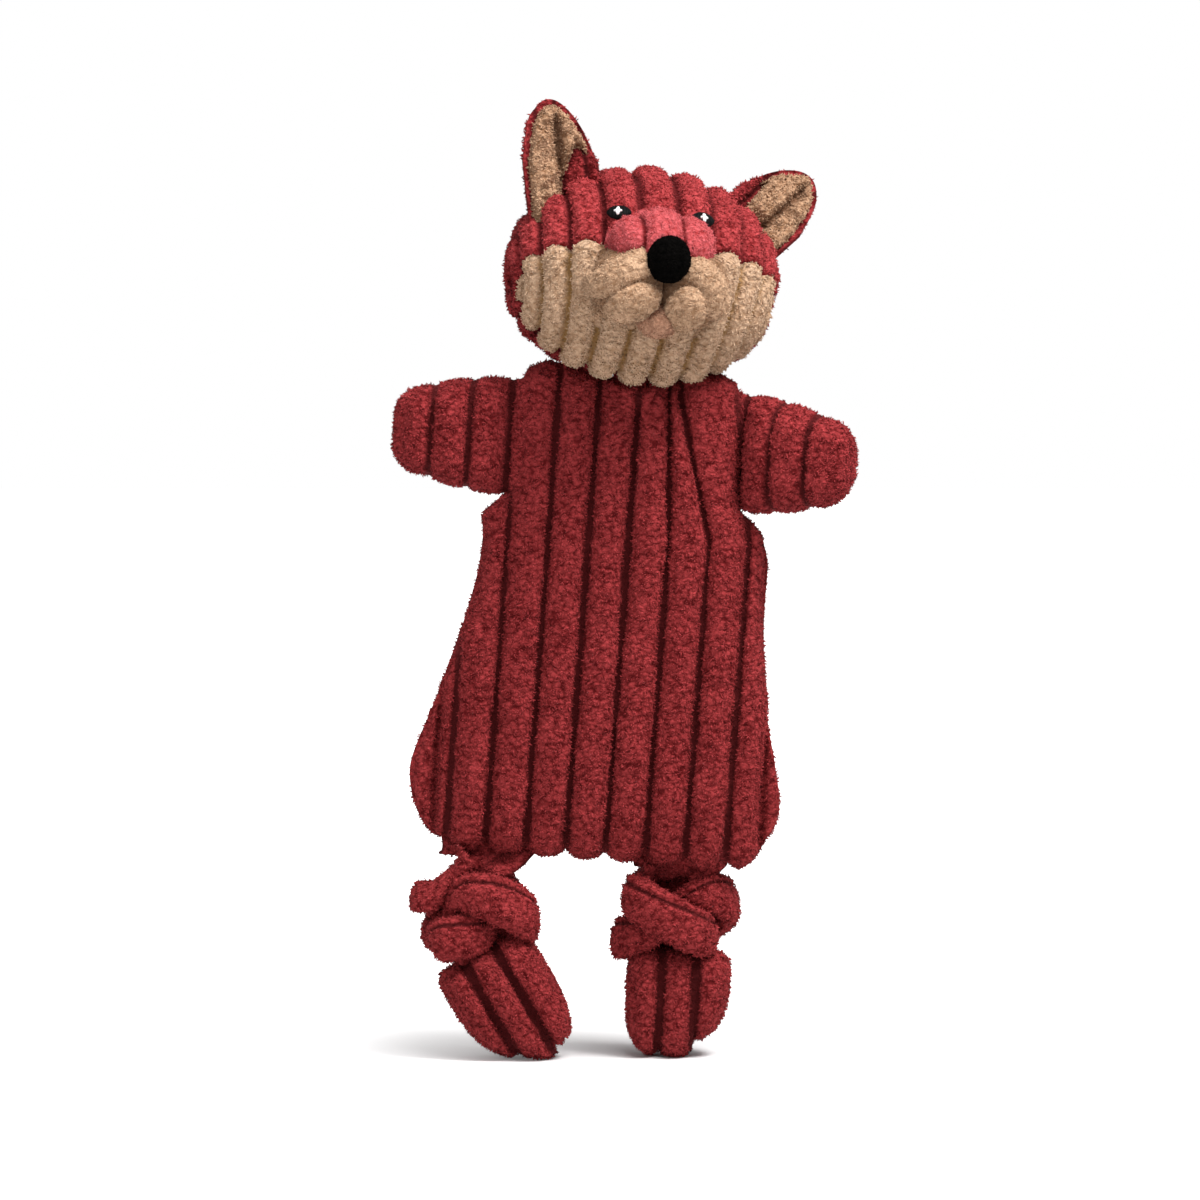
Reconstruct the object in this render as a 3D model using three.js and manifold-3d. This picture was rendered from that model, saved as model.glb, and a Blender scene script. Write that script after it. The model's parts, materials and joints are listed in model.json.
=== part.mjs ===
// Flat plush fox toy for a dog: ribbed plush skins over soft filling, a round stuffed head with a
// squeaker, and legs that are each one long strap tied in an overhand knot above the foot.
// Millimetres, +Z up, the face looks along -Y, +X is the right-hand side seen from the front.
// The origin lies on the floor under the middle of the toy.

import * as THREE from 'three';
import { mergeVertices } from 'three/addons/utils/BufferGeometryUtils.js';
import Module from 'manifold-3d';

const wasm = await Module();
wasm.setup();

const { lerp, clamp, degToRad } = THREE.MathUtils;

// Plush and seams
const seamGap = 0.3;
const fillingGap = 0.5;
const skinThickness = 2.6;
const ribPitch = 13.8;
const ribHeight = 2.4;
const ribPointShares = [0, 0.16, 0.5, 0.84];
const grooveSharpness = 0.55;
const overrun = 6;

// Torso, measured along its own leaning axis from the hem line
const torsoHeight = 162;
const hemDrop = 6;
const ribEndDrop = 3;
const hipHalfWidth = 64;
const frontHipHalfWidth = 56;
const torsoThickness = 27;
const torsoEdgeThickness = 5;
const torsoRibOffset = 2.7;
const torsoLean = 4.2;
const hemHeight = 77.6;
const hemSideShift = -7.2;
const collarDip = 7.2;
const collarHalfWidth = 30;
const shoulderSlope = 0.5;
const crinkleThickness = 0.5;
const crinkleInset = 16;
const waddingBackDepth = 3;
const edgeRibShare = 0.4;
const torsoInsideRowShares = [0, 0.08, 0.2, 0.4, 0.6, 0.75, 0.9, 1];
// Shares of the torso's length against shares of the hip half width
const torsoWidthShares = [
  [0, 0.78], [0.036, 0.89], [0.096, 0.977], [0.156, 1], [0.22, 0.97], [0.293, 0.92],
  [0.407, 0.85], [0.575, 0.77], [0.7, 0.75], [0.73, 0.625], [0.95, 0.615], [1, 0.56],
];
const torsoSkewShares = [
  [0, -0.015], [0.2, -0.045], [0.36, -0.03], [0.52, 0.01], [0.66, 0.04], [0.73, 0], [1, 0],
];
const frontSkewShare = 0.5;
const torsoRowShares = [0, 0.036, 0.096, 0.17, 0.26, 0.4, 0.54, 0.7, 0.73, 0.82, 0.93, 1];
const torsoRiseShares = [
  [0, 0.5], [0.06, 0.86], [0.16, 1], [0.7, 0.96], [0.88, 0.8], [0.96, 0.5], [1, 0.22],
];

// Head, a ribbed ball
const headHalfWidth = 46.5;
const headHalfDepth = 37.5;
const headHalfHeight = 35.2;
const headRibs = 22;
const headRibHeight = 1.7;
const headRibPointShares = [0, 0.28, 0.72];
const headSteps = 24;
const headInsideRings = 12;
const headPitch = -6;
const headRoll = 4.6;
const headYaw = 9.5;
const faceSeamDepth = 12;
const faceSeamTilt = 12;
const browDepth = 17.6;
const crownSeamDepth = 2;
const browHeight = 3;
const browTilt = 23;

// Neck, a short gathered stub with a round lower end
const neckRadius = 8;
const neckLength = 17;
const neckSink = 0.8;
const neckSide = 0.2;
const neckToHead = 39.8;
const neckRings = 5;
const neckSides = 20;
const neckGatherShares = [[0.42, 0.9], [0.62, 0.86], [0.84, 0.95]];

// Squeaker in the head
const squeakerRadius = 15;
const squeakerMouthRadius = 5;
const squeakerMouthLength = 7;
const squeakerWall = 1.4;
const reedFlangeRadius = 6.5;
const reedFlangeThickness = 1.2;
const reedBoreRadius = 1.6;
const squeakerLift = 3;
const squeakerSides = 16;
const squeakerRings = 6;
const reedBoreSides = 8;

// Face
const muzzleDepth = 37;
const flewHalfWidth = 15.5;
const flewHalfDepth = 19;
const flewHalfHeight = 16.5;
const flewSide = 10.5;
const flewDrop = 4;
const bridgeHalfWidth = 18;
const bridgeHalfDepth = 18;
const bridgeHalfHeight = 12;
const bridgeLift = 10;
const chinHalfWidth = 7;
const chinHalfDepth = 9;
const chinHalfHeight = 6;
const chinDrop = 16;
const chinDepth = 40;
const noseHalfWidth = 7.8;
const noseHalfDepth = 7;
const noseHalfHeight = 8.2;
const noseLift = 5;
const noseDepth = 54;
const eyeSide = 14.2;
const eyeLift = 19;
const eyeHalfWidth = 4.3;
const eyeHalfHeight = 2.9;
const eyeThickness = 1.4;
const glintRadius = 1.3;
const glintThickness = 0.8;
const glintSideShare = -0.06;
const glintLiftShare = -0.1;

const faceSides = 18;
const faceRings = 10;
const eyeSides = 10;
const eyeRings = 6;

// Ears
const earLength = 42;
const earHalfWidth = 13.5;
const earShellThickness = 3.4;
const earLiningThickness = 2.6;
const earEdgeThickness = 1.2;
const earLiningInset = 2.4;
const earCup = 5;
const earBaseClearance = 0.4;
const earFold = 30;
const earFoldSteps = 4;
const earOutlineShares = [
  [-1, 0.4], [-0.7, 0.72], [-0.35, 0.93], [0, 1], [0.35, 0.88], [0.7, 0.64], [1, 0.34],
];
const earRowShares = [0, 0.2, 0.4, 0.6, 0.8, 0.93, 1];
const earColumns = 8;
const earPlaces = {
  left: { side: -29.4, lift: 16.2, depth: 3, lean: -10, turn: 6, back: 4 },
  right: { side: 30, lift: 11.8, depth: 0, lean: 43, turn: -10, back: 28 },
};

// Arms, measured outwards from the shoulder seam
const armLength = 40;
const armRootHeight = 41;
const armRibPitch = 13.3;
const armThickness = 25;
const armEdgeThickness = 7.2;
const armSeamGap = 0.7;
const armPivotInset = 4.5;
const armDrop = 6.5;
const shoulderHalfWidth = 40;
const armTipShares = [[0, 1], [0.33, 0.94], [0.66, 0.8], [0.86, 0.68], [0.95, 0.54], [1, 0.36]];
const armRiseShares = [[0, 0], [0.1, 0.06], [0.24, 0.62], [0.42, 1], [0.75, 0.92], [0.93, 0.66], [1, 0.4]];
const armRowShares = [0, 0.08, 0.22, 0.4, 0.6, 0.78, 0.92, 1];
const armInsideColumns = 6;
const armRootSides = 16;
const armPlaces = { left: 4, right: -26 };

// Legs, one strap each, tied in an overhand knot
const strapHalfWidth = 11;
const strapHalfThickness = 3.4;
const knotHalfWidth = 7.6;
const knotHalfThickness = 3.3;
const knotCoreHalfWidth = 2.9;
const knotCoreHalfThickness = 2.8;
const knotRadius = 9.6;
const knotSpread = 4.2;
const knotWideShare = 1.5;
const knotDeepShare = 0.96;
const knotRise = 7.2;
const knotTurns = 5 / 3;
const knotSteps = 48;
const knotSides = 8;
const knotLeadSteps = 7;
const knotLeadShares = [[0.5, 1.05, 1.3], [0.1, 0.6, 1.85]];
const strapEndHalfWidth = 8;
const strapEndHalfThickness = 3.4;
const knotGapLimit = 0.4;
const knotLeadShare = 0.06;
const knotApartShare = 0.14;
const knotGapSampling = 3;
const strapEndRoundShare = 0.3;
const legPlaces = {
  left: { side: -46, depth: -4, knotHeight: 51, knotTurn: 120, knotShift: -5.4 },
  right: { side: 20.5, depth: 4, knotHeight: 49.4, knotTurn: 60, knotShift: -3 },
};
const ankleDrop = 17.8;
const ankleGap = 0.5;

// Feet, flat ribbed pouches cut level at the sole
const footHalfWidth = 17.8;
const footRibPitch = 11.8;
const footThickness = 25;
const footEdgeThickness = 7;
const footTopRise = 4;
const soleCut = 0.5;
const footRowShares = [0, 0.06, 0.16, 0.34, 0.56, 0.76, 0.92, 1];
const footWidthShares = [[0, 0.84], [0.1, 0.96], [0.3, 1], [0.7, 0.95], [0.9, 0.76], [1, 0.5]];
const footRiseShares = [[0, 0.58], [0.08, 0.86], [0.3, 1], [0.75, 0.84], [0.93, 0.6], [1, 0.36]];
const footInsideColumns = 6;
const footEndDrop = 2.2;
const footCornerRise = 6.5;
const footCornerShare = 0.6;
const footTilts = { left: -30, right: 3 };

// Smooth value of a table of [place, value] pairs
function along(table, place) {
  const last = table.length - 1;
  let i = 0;
  while (i < last - 1 && place > table[i + 1][0]) i += 1;
  const slope = (a, b) => (table[b][1] - table[a][1]) / (table[b][0] - table[a][0]);
  const span = table[i + 1][0] - table[i][0];
  const t = clamp((place - table[i][0]) / span, 0, 1);
  const slopeIn = slope(Math.max(i - 1, 0), i + 1) * span;
  const slopeOut = slope(i, Math.min(i + 2, last)) * span;
  const t2 = t * t;
  const t3 = t2 * t;
  return (2 * t3 - 3 * t2 + 1) * table[i][1] + (t3 - 2 * t2 + t) * slopeIn
    + (3 * t2 - 2 * t3) * table[i + 1][1] + (t3 - t2) * slopeOut;
}

// Height of the ribbed pile over its backing, zero in each groove
function ribBump(place, pitch, height) {
  return height * Math.abs(Math.sin(Math.PI * place / pitch)) ** grooveSharpness;
}

// Places across a ribbed piece: the grooves and a few points on each rib between them
function ribPlaces(from, to, pitch, offset, pointShares) {
  const places = [from];
  for (let rib = Math.floor((from - offset) / pitch); offset + rib * pitch < to; rib += 1) {
    for (const share of pointShares) {
      const place = offset + (rib + share) * pitch;
      if (place > from && place < to) places.push(place);
    }
  }
  places.push(to);
  return places;
}

function evenPlaces(from, to, count) {
  return Array.from({ length: count + 1 }, (_, i) => lerp(from, to, i / count));
}

// Closed geometry from a grid of points with a front sheet, a back sheet and the rim between them
function gridGeometry(front, back) {
  const columns = front.length;
  const rows = front[0].length;
  const points = [...front.flat(), ...back.flat()];
  const frontAt = (c, r) => c * rows + r;
  const backAt = (c, r) => columns * rows + c * rows + r;
  const triangles = [];
  const quad = (a, b, c, d) => triangles.push(a, b, c, a, c, d);
  for (let c = 0; c + 1 < columns; c += 1) {
    for (let r = 0; r + 1 < rows; r += 1) {
      quad(frontAt(c, r), frontAt(c + 1, r), frontAt(c + 1, r + 1), frontAt(c, r + 1));
      quad(backAt(c, r), backAt(c, r + 1), backAt(c + 1, r + 1), backAt(c + 1, r));
    }
    quad(frontAt(c, 0), backAt(c, 0), backAt(c + 1, 0), frontAt(c + 1, 0));
    quad(frontAt(c, rows - 1), frontAt(c + 1, rows - 1), backAt(c + 1, rows - 1), backAt(c, rows - 1));
  }
  for (let r = 0; r + 1 < rows; r += 1) {
    quad(frontAt(0, r), frontAt(0, r + 1), backAt(0, r + 1), backAt(0, r));
    const c = columns - 1;
    quad(frontAt(c, r), backAt(c, r), backAt(c, r + 1), frontAt(c, r + 1));
  }
  return indexedGeometry(points, triangles);
}

function indexedGeometry(points, triangles) {
  const geometry = new THREE.BufferGeometry();
  geometry.setAttribute('position', new THREE.Float32BufferAttribute(points.flat(), 3));
  geometry.setIndex(triangles);
  return geometry;
}

// A solid from a closed geometry: shared corners are merged and collapsed triangles dropped
function solidOf(geometry) {
  const bare = geometry.clone();
  bare.deleteAttribute('normal');
  bare.deleteAttribute('uv');
  const merged = mergeVertices(bare);
  const index = merged.index.array;
  const kept = [];
  for (let i = 0; i < index.length; i += 3) {
    const [a, b, c] = [index[i], index[i + 1], index[i + 2]];
    if (a !== b && b !== c && c !== a) kept.push(a, b, c);
  }
  return new wasm.Manifold(new wasm.Mesh({
    numProp: 3,
    vertProperties: merged.attributes.position.array,
    triVerts: new Uint32Array(kept),
  }));
}

function geometryOf(solid) {
  const mesh = solid.getMesh();
  const points = new Float32Array(mesh.numVert * 3);
  for (let i = 0; i < mesh.numVert; i += 1) {
    for (let k = 0; k < 3; k += 1) points[3 * i + k] = mesh.vertProperties[mesh.numProp * i + k];
  }
  const geometry = new THREE.BufferGeometry();
  geometry.setAttribute('position', new THREE.BufferAttribute(points, 3));
  geometry.setIndex(new THREE.BufferAttribute(new Uint32Array(mesh.triVerts), 1));
  const flat = geometry.toNonIndexed();
  flat.computeVertexNormals();
  return flat;
}

// A pad seen from the front: columns run across it and rows from its low to its high outline.
// Where a column lies beyond the pad's side, it gathers on the side.
function padSolid({ columns, rowShares, sides, low, high, front, back, pose = new THREE.Matrix4() }) {
  const sheet = (depthAt) => columns.map((column) => rowShares.map((share) => {
    const [least, most] = sides(share);
    const x = clamp(column, least, most);
    return [x, depthAt(x, share), lerp(low(x), high(x), share)];
  }));
  return solidOf(gridGeometry(sheet(front), sheet(back)).applyMatrix4(pose));
}

function boxSolid(low, high) {
  const size = high.map((value, i) => value - low[i]);
  const box = new THREE.BoxGeometry(...size);
  box.translate(...low.map((value, i) => value + size[i] / 2));
  return solidOf(box);
}

function ellipsoidSolid(centre, radii, around, rings) {
  const ball = new THREE.SphereGeometry(1, around, rings);
  ball.rotateX(Math.PI / 2);
  ball.scale(...radii);
  ball.translate(...centre);
  return solidOf(ball);
}

function cylinderSolid(radius, low, high, sides) {
  const cylinder = new THREE.CylinderGeometry(radius, radius, high - low, sides);
  cylinder.rotateX(Math.PI / 2);
  cylinder.translate(0, 0, (low + high) / 2);
  return solidOf(cylinder);
}

// Crown of a pad across its width, full in the middle and thin at the sides
function domeShare(place, limit) {
  return Math.sqrt(Math.max(0, 1 - Math.abs(place / limit) ** 3));
}

// Looks of the cloths, the filling and the squeaker
const redPlush = { color: 0x96323a, roughness: 0.95, metalness: 0 };
const tanPlush = { color: 0xc6a88a, roughness: 0.95, metalness: 0 };
const blackFelt = { color: 0x151212, roughness: 0.85, metalness: 0 };
const whiteThread = { color: 0xf2f0ee, roughness: 0.7, metalness: 0 };
const filling = { color: 0xe9e6e0, roughness: 1, metalness: 0 };
const film = { color: 0xd8dde0, roughness: 0.35, metalness: 0 };
const vinyl = { color: 0xefeadf, roughness: 0.5, metalness: 0 };

function piece(name, solid, look) {
  const mesh = new THREE.Mesh(geometryOf(solid), new THREE.MeshStandardMaterial(look));
  mesh.name = name;
  return mesh;
}

// Torso: a flat bag of two ribbed panels, wider at the hips, round wadding and a crinkle sheet
const torsoCrown = torsoThickness / 2 - ribHeight;
const torsoEdge = torsoEdgeThickness / 2;
const torsoInsideColumns = 14;
const neckRise = torsoHeight - collarDip - neckSink;

function torsoLow(x) {
  return -hemDrop - ribBump(x - torsoRibOffset, ribPitch, ribEndDrop);
}

function torsoHigh(x) {
  const out = Math.abs(x);
  const dip = collarDip * (1 - Math.min(1, out / collarHalfWidth) ** 2);
  return torsoHeight - dip - shoulderSlope * Math.max(0, out - collarHalfWidth);
}

function torsoHalfWidth(share, widest) {
  return Math.min(along(torsoWidthShares, share) * hipHalfWidth, widest);
}

function torsoSkew(share, skewShare) {
  return along(torsoSkewShares, share) * hipHalfWidth * skewShare;
}

function torsoDepth(x, share, widest, skewShare) {
  const fade = domeShare(x - torsoSkew(share, skewShare), torsoHalfWidth(share, widest));
  return torsoEdge + (torsoCrown - torsoEdge) * along(torsoRiseShares, share) * fade;
}

// A plain layer of the torso's inside, from one share of its depth to another
function torsoLayer({ inset, outlineInset, frontDepth, backDepth }) {
  const sides = (share) => {
    const halfWidth = torsoHalfWidth(share, frontHipHalfWidth) - outlineInset;
    const skew = torsoSkew(share, frontSkewShare);
    return [skew - halfWidth, skew + halfWidth];
  };
  const room = (x, share) => {
    const depth = torsoDepth(x, share, frontHipHalfWidth, frontSkewShare);
    return Math.max(depth - inset, seamGap);
  };
  return padSolid({
    columns: evenPlaces(-hipHalfWidth, hipHalfWidth, torsoInsideColumns),
    rowShares: torsoInsideRowShares,
    sides,
    low: () => -hemDrop + outlineInset,
    high: (x) => torsoHigh(x) - outlineInset,
    front: (x, share) => frontDepth(room(x, share)),
    back: (x, share) => backDepth(room(x, share)),
  });
}

function torsoPanel(facing, widest, skewShare) {
  const outer = (x, share) => {
    const fade = domeShare(x - torsoSkew(share, skewShare), torsoHalfWidth(share, widest));
    const bump = ribBump(x - torsoRibOffset, ribPitch, ribHeight);
    return facing * (torsoDepth(x, share, widest, skewShare) + bump * lerp(edgeRibShare, 1, fade));
  };
  const middle = () => facing * seamGap / 2;
  const reach = widest - hipHalfWidth * skewShare * Math.min(...torsoSkewShares.map(([, skew]) => skew));
  const skin = padSolid({
    columns: ribPlaces(-reach, reach, ribPitch, torsoRibOffset, ribPointShares),
    rowShares: torsoRowShares,
    sides: (share) => {
      const halfWidth = torsoHalfWidth(share, widest);
      const skew = torsoSkew(share, skewShare);
      return [skew - halfWidth, skew + halfWidth];
    },
    low: torsoLow,
    high: torsoHigh,
    front: facing < 0 ? outer : middle,
    back: facing < 0 ? middle : outer,
  });
  const room = torsoLayer({
    inset: skinThickness,
    outlineInset: skinThickness,
    frontDepth: (depth) => -depth,
    backDepth: (depth) => depth,
  });
  return skin.subtract(room);
}

function makeTorso() {
  const torso = new THREE.Group();
  const seatRadii = Array(3).fill(neckRadius + seamGap);
  const neckSeat = ellipsoidSolid([neckSide, 0, neckRise], seatRadii, neckSides, faceRings);
  const waddingInset = skinThickness + seamGap;
  const wadding = torsoLayer({
    inset: waddingInset,
    outlineInset: waddingInset,
    frontDepth: (depth) => -depth,
    backDepth: (depth) => Math.min(depth, waddingBackDepth),
  });
  const crinkle = torsoLayer({
    inset: waddingInset,
    outlineInset: crinkleInset,
    frontDepth: () => waddingBackDepth + seamGap,
    backDepth: () => waddingBackDepth + seamGap + crinkleThickness,
  });
  const frontPanel = torsoPanel(-1, frontHipHalfWidth, frontSkewShare).subtract(neckSeat);
  const backPanel = torsoPanel(1, hipHalfWidth, 1).subtract(neckSeat);
  torso.add(piece('torso_front_panel', frontPanel, redPlush));
  torso.add(piece('torso_back_panel', backPanel, redPlush));
  torso.add(piece('torso_wadding', wadding.subtract(neckSeat), filling));
  torso.add(piece('torso_crinkle_sheet', crinkle.subtract(neckSeat), film));
  torso.add(makeArm('left', -1), makeArm('right', 1));
  torso.position.set(hemSideShift, 0, hemHeight);
  torso.rotation.y = degToRad(torsoLean);
  return torso;
}

// Arms: ribbed pouches, open at the shoulder seam and stuffed
function armPad(outwards, inset, ribbed, root) {
  const end = armLength - inset;
  const reach = (x) => Math.abs(x) / armLength;
  const halfHeight = (x) => armRootHeight / 2 * along(armTipShares, reach(x)) - inset;
  const depth = (x, share) => {
    const fullness = along(armRiseShares, reach(x)) * domeShare(share - 0.5, 0.5);
    const plain = lerp(armEdgeThickness / 2, armThickness / 2 - ribHeight, fullness) - inset;
    return plain + (ribbed ? ribBump(x, armRibPitch, ribHeight) : 0);
  };
  const places = ribbed
    ? ribPlaces(root, end, armRibPitch, 0, ribPointShares)
    : evenPlaces(root, end, armInsideColumns);
  const columns = outwards < 0 ? places.map((place) => -place).reverse() : places;
  return padSolid({
    columns,
    rowShares: armRowShares,
    sides: () => [columns[0], columns[columns.length - 1]],
    low: (x) => -halfHeight(x),
    high: halfHeight,
    front: (x, share) => -depth(x, share),
    back: depth,
  });
}

function makeArm(name, outwards) {
  const arm = new THREE.Group();
  const inner = outwards * armPivotInset;
  const tip = outwards * (armLength + overrun);
  const rounded = cylinderSolid(armPivotInset, -armRootHeight, armRootHeight, armRootSides)
    .translate([inner, 0, 0])
    .add(boxSolid(
      [Math.min(inner, tip), -armThickness, -armRootHeight],
      [Math.max(inner, tip), armThickness, armRootHeight],
    ));
  const skin = armPad(outwards, 0, true, 0)
    .subtract(armPad(outwards, skinThickness, false, -overrun))
    .intersect(rounded);
  const stuffing = armPad(outwards, skinThickness + fillingGap, false, 0).intersect(rounded);
  arm.add(piece(`arm_${name}_skin`, skin, redPlush));
  arm.add(piece(`arm_${name}_filling`, stuffing, filling));
  for (const layer of arm.children) layer.position.x = -outwards * armPivotInset;
  const lift = torsoHeight - armDrop - armRootHeight / 2;
  arm.position.set(outwards * (shoulderHalfWidth + armSeamGap + armPivotInset), 0, lift);
  arm.rotation.z = degToRad(armPlaces[name] * outwards);
  return arm;
}

// Head: a ball of ribs that run from the crown to the neck, in three sewn panels
function headBall(inset, ribbed) {
  const rings = ribbed
    ? ribPlaces(-1 / 4, 1 / 4, 1 / headRibs, 1 / (2 * headRibs), headRibPointShares)
    : evenPlaces(-1 / 4, 1 / 4, headInsideRings);
  const columns = evenPlaces(0, -2 * Math.PI, headSteps).map((around) => rings.map((turn) => {
    const across = turn * 2 * Math.PI;
    const level = Math.max(0, Math.cos(across));
    const rib = ribBump(turn - 1 / (2 * headRibs), 1 / headRibs, headRibHeight);
    const bump = ribbed ? rib * Math.sqrt(level) : 0;
    return [
      (headHalfWidth - inset + bump) * Math.sin(across),
      -(headHalfDepth - inset + bump) * level * Math.cos(around),
      (headHalfHeight - inset + bump) * level * Math.sin(around),
    ];
  }));
  return solidOf(closedSweep(columns));
}

// Geometry from columns of points that run from one pole to the other, all the way round
function closedSweep(columns) {
  const rows = columns[0].length;
  const triangles = [];
  for (let c = 0; c + 1 < columns.length; c += 1) {
    for (let r = 0; r + 1 < rows; r += 1) {
      const [a, b] = [c * rows + r, (c + 1) * rows + r];
      triangles.push(a, b, b + 1, a, b + 1, a + 1);
    }
  }
  return indexedGeometry(columns.flat(), triangles);
}

// Everything in front of the crown's seam and above the brow, or of the face's seam and below it
function seamCutter(browSide, grow) {
  const reach = headHalfWidth * 2;
  const seamDepth = browSide > 0 ? crownSeamDepth : faceSeamDepth;
  const front = new THREE.BoxGeometry(2 * reach, reach, 2 * reach);
  front.translate(0, grow - reach / 2, 0);
  front.rotateX(browSide > 0 ? 0 : degToRad(faceSeamTilt));
  front.translate(0, -seamDepth, 0);
  const bottom = browSide > 0 ? -grow : -reach;
  const top = browSide > 0 ? reach : grow;
  const half = new THREE.BoxGeometry(2 * reach, 2 * reach, top - bottom);
  half.translate(0, 0, (top + bottom) / 2);
  half.rotateX(degToRad(-browTilt));
  half.translate(0, -browDepth, browHeight);
  return solidOf(front).intersect(solidOf(half));
}

function makeHead() {
  const head = new THREE.Group();
  const outer = headBall(0, true);
  const shell = outer.subtract(headBall(skinThickness, false));
  const neckHole = cylinderSolid(neckRadius + seamGap, -headHalfHeight - overrun, -headHalfHeight / 2, 24);
  const crownPanel = shell.intersect(seamCutter(1, 0)).subtract(seamCutter(-1, seamGap));
  const facePanel = shell.intersect(seamCutter(-1, 0)).subtract(neckHole);
  const backPanel = shell
    .subtract(seamCutter(1, seamGap))
    .subtract(seamCutter(-1, seamGap))
    .subtract(neckHole);
  head.add(piece('head_crown_panel', crownPanel, redPlush));
  head.add(piece('head_face_panel', facePanel, tanPlush));
  head.add(piece('head_back_panel', backPanel, redPlush));
  addSqueaker(head, headBall(skinThickness + seamGap, false), neckHole);
  addFace(head);
  addEar(head, 'left', -1);
  addEar(head, 'right', 1);
  head.position.z = neckToHead;
  head.rotation.z = degToRad(headYaw);
  return head;
}

// Squeaker: a soft bulb with a reed in its mouth, in a pocket of the filling
function addSqueaker(head, stuffing, neckHole) {
  const mouthFoot = squeakerLift - squeakerRadius - squeakerMouthLength;
  const bulbProfile = (radius, mouthRadius) => {
    const start = Math.acos(mouthRadius / radius);
    const arc = evenPlaces(-start, Math.PI / 2, squeakerRings)
      .map((angle) => new THREE.Vector2(radius * Math.cos(angle), squeakerLift + radius * Math.sin(angle)));
    arc[arc.length - 1].x = 0;
    return [new THREE.Vector2(0, mouthFoot), new THREE.Vector2(mouthRadius, mouthFoot), ...arc];
  };
  const turned = (profile) => {
    const body = new THREE.LatheGeometry(profile, squeakerSides);
    body.rotateX(Math.PI / 2);
    return solidOf(body);
  };
  const mouthRadius = squeakerMouthRadius - squeakerWall;
  const bulbOutside = turned(bulbProfile(squeakerRadius, squeakerMouthRadius));
  const bulbInside = turned(bulbProfile(squeakerRadius - squeakerWall, mouthRadius));
  const pocket = turned(bulbProfile(squeakerRadius + seamGap, reedFlangeRadius + seamGap));
  const mouthCut = cylinderSolid(mouthRadius, mouthFoot - overrun, squeakerLift, squeakerSides);
  const reedTop = mouthFoot - seamGap;
  const reedFoot = reedTop - reedFlangeThickness;
  const flange = cylinderSolid(reedFlangeRadius, reedFoot, reedTop, squeakerSides);
  const plug = cylinderSolid(mouthRadius - seamGap, reedFoot, mouthFoot + squeakerMouthLength, squeakerSides);
  const bore = cylinderSolid(reedBoreRadius, reedFoot - overrun, squeakerLift, reedBoreSides);
  const channelRadius = reedFlangeRadius + seamGap;
  const channel = cylinderSolid(channelRadius, -headHalfHeight, mouthFoot + seamGap, squeakerSides);
  head.add(piece('squeaker_bulb', bulbOutside.subtract(bulbInside).subtract(mouthCut), vinyl));
  head.add(piece('squeaker_reed', flange.add(plug).subtract(bore), whiteThread));
  head.add(piece('head_filling', stuffing.subtract(pocket).subtract(channel).subtract(neckHole), filling));
}

// Face: muzzle, nose and eyes, each cut by the larger piece that it is sewn to
function addFace(head) {
  const grownHead = headBall(-seamGap, true);
  const flew = (side, grow) => ellipsoidSolid(
    [side * flewSide, -muzzleDepth, -flewDrop],
    [flewHalfWidth + grow, flewHalfDepth + grow, flewHalfHeight + grow],
    faceSides,
    faceRings,
  );
  const noseBall = (grow) => ellipsoidSolid(
    [0, -noseDepth, noseLift],
    [noseHalfWidth + grow, noseHalfDepth + grow, noseHalfHeight + grow],
    faceSides,
    faceRings,
  );
  const flewSides = [['left', -1], ['right', 1]];
  const reach = headHalfWidth;
  for (const [name, side] of flewSides) {
    const least = side < 0 ? -reach : seamGap / 2;
    const most = side < 0 ? -seamGap / 2 : reach;
    const half = boxSolid([least, -2 * reach, -reach], [most, reach, reach]);
    const lobe = flew(side, 0).intersect(half).subtract(grownHead).subtract(noseBall(seamGap));
    head.add(piece(`muzzle_flew_${name}`, lobe, tanPlush));
  }
  const bridge = ellipsoidSolid(
    [0, -muzzleDepth, bridgeLift],
    [bridgeHalfWidth, bridgeHalfDepth, bridgeHalfHeight],
    faceSides,
    faceRings,
  );
  const chin = ellipsoidSolid(
    [0, -chinDepth, -chinDrop],
    [chinHalfWidth, chinHalfDepth, chinHalfHeight],
    faceSides,
    faceRings,
  );
  const flews = flew(-1, seamGap).add(flew(1, seamGap));
  const fitted = (solid) => solid.subtract(grownHead).subtract(flews).subtract(noseBall(seamGap));
  head.add(piece('muzzle_bridge', fitted(bridge), redPlush));
  head.add(piece('chin', fitted(chin), tanPlush));
  head.add(piece('nose', noseBall(0), blackFelt));
  for (const [name, side] of flewSides) addEye(head, name, side, grownHead);
}

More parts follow.
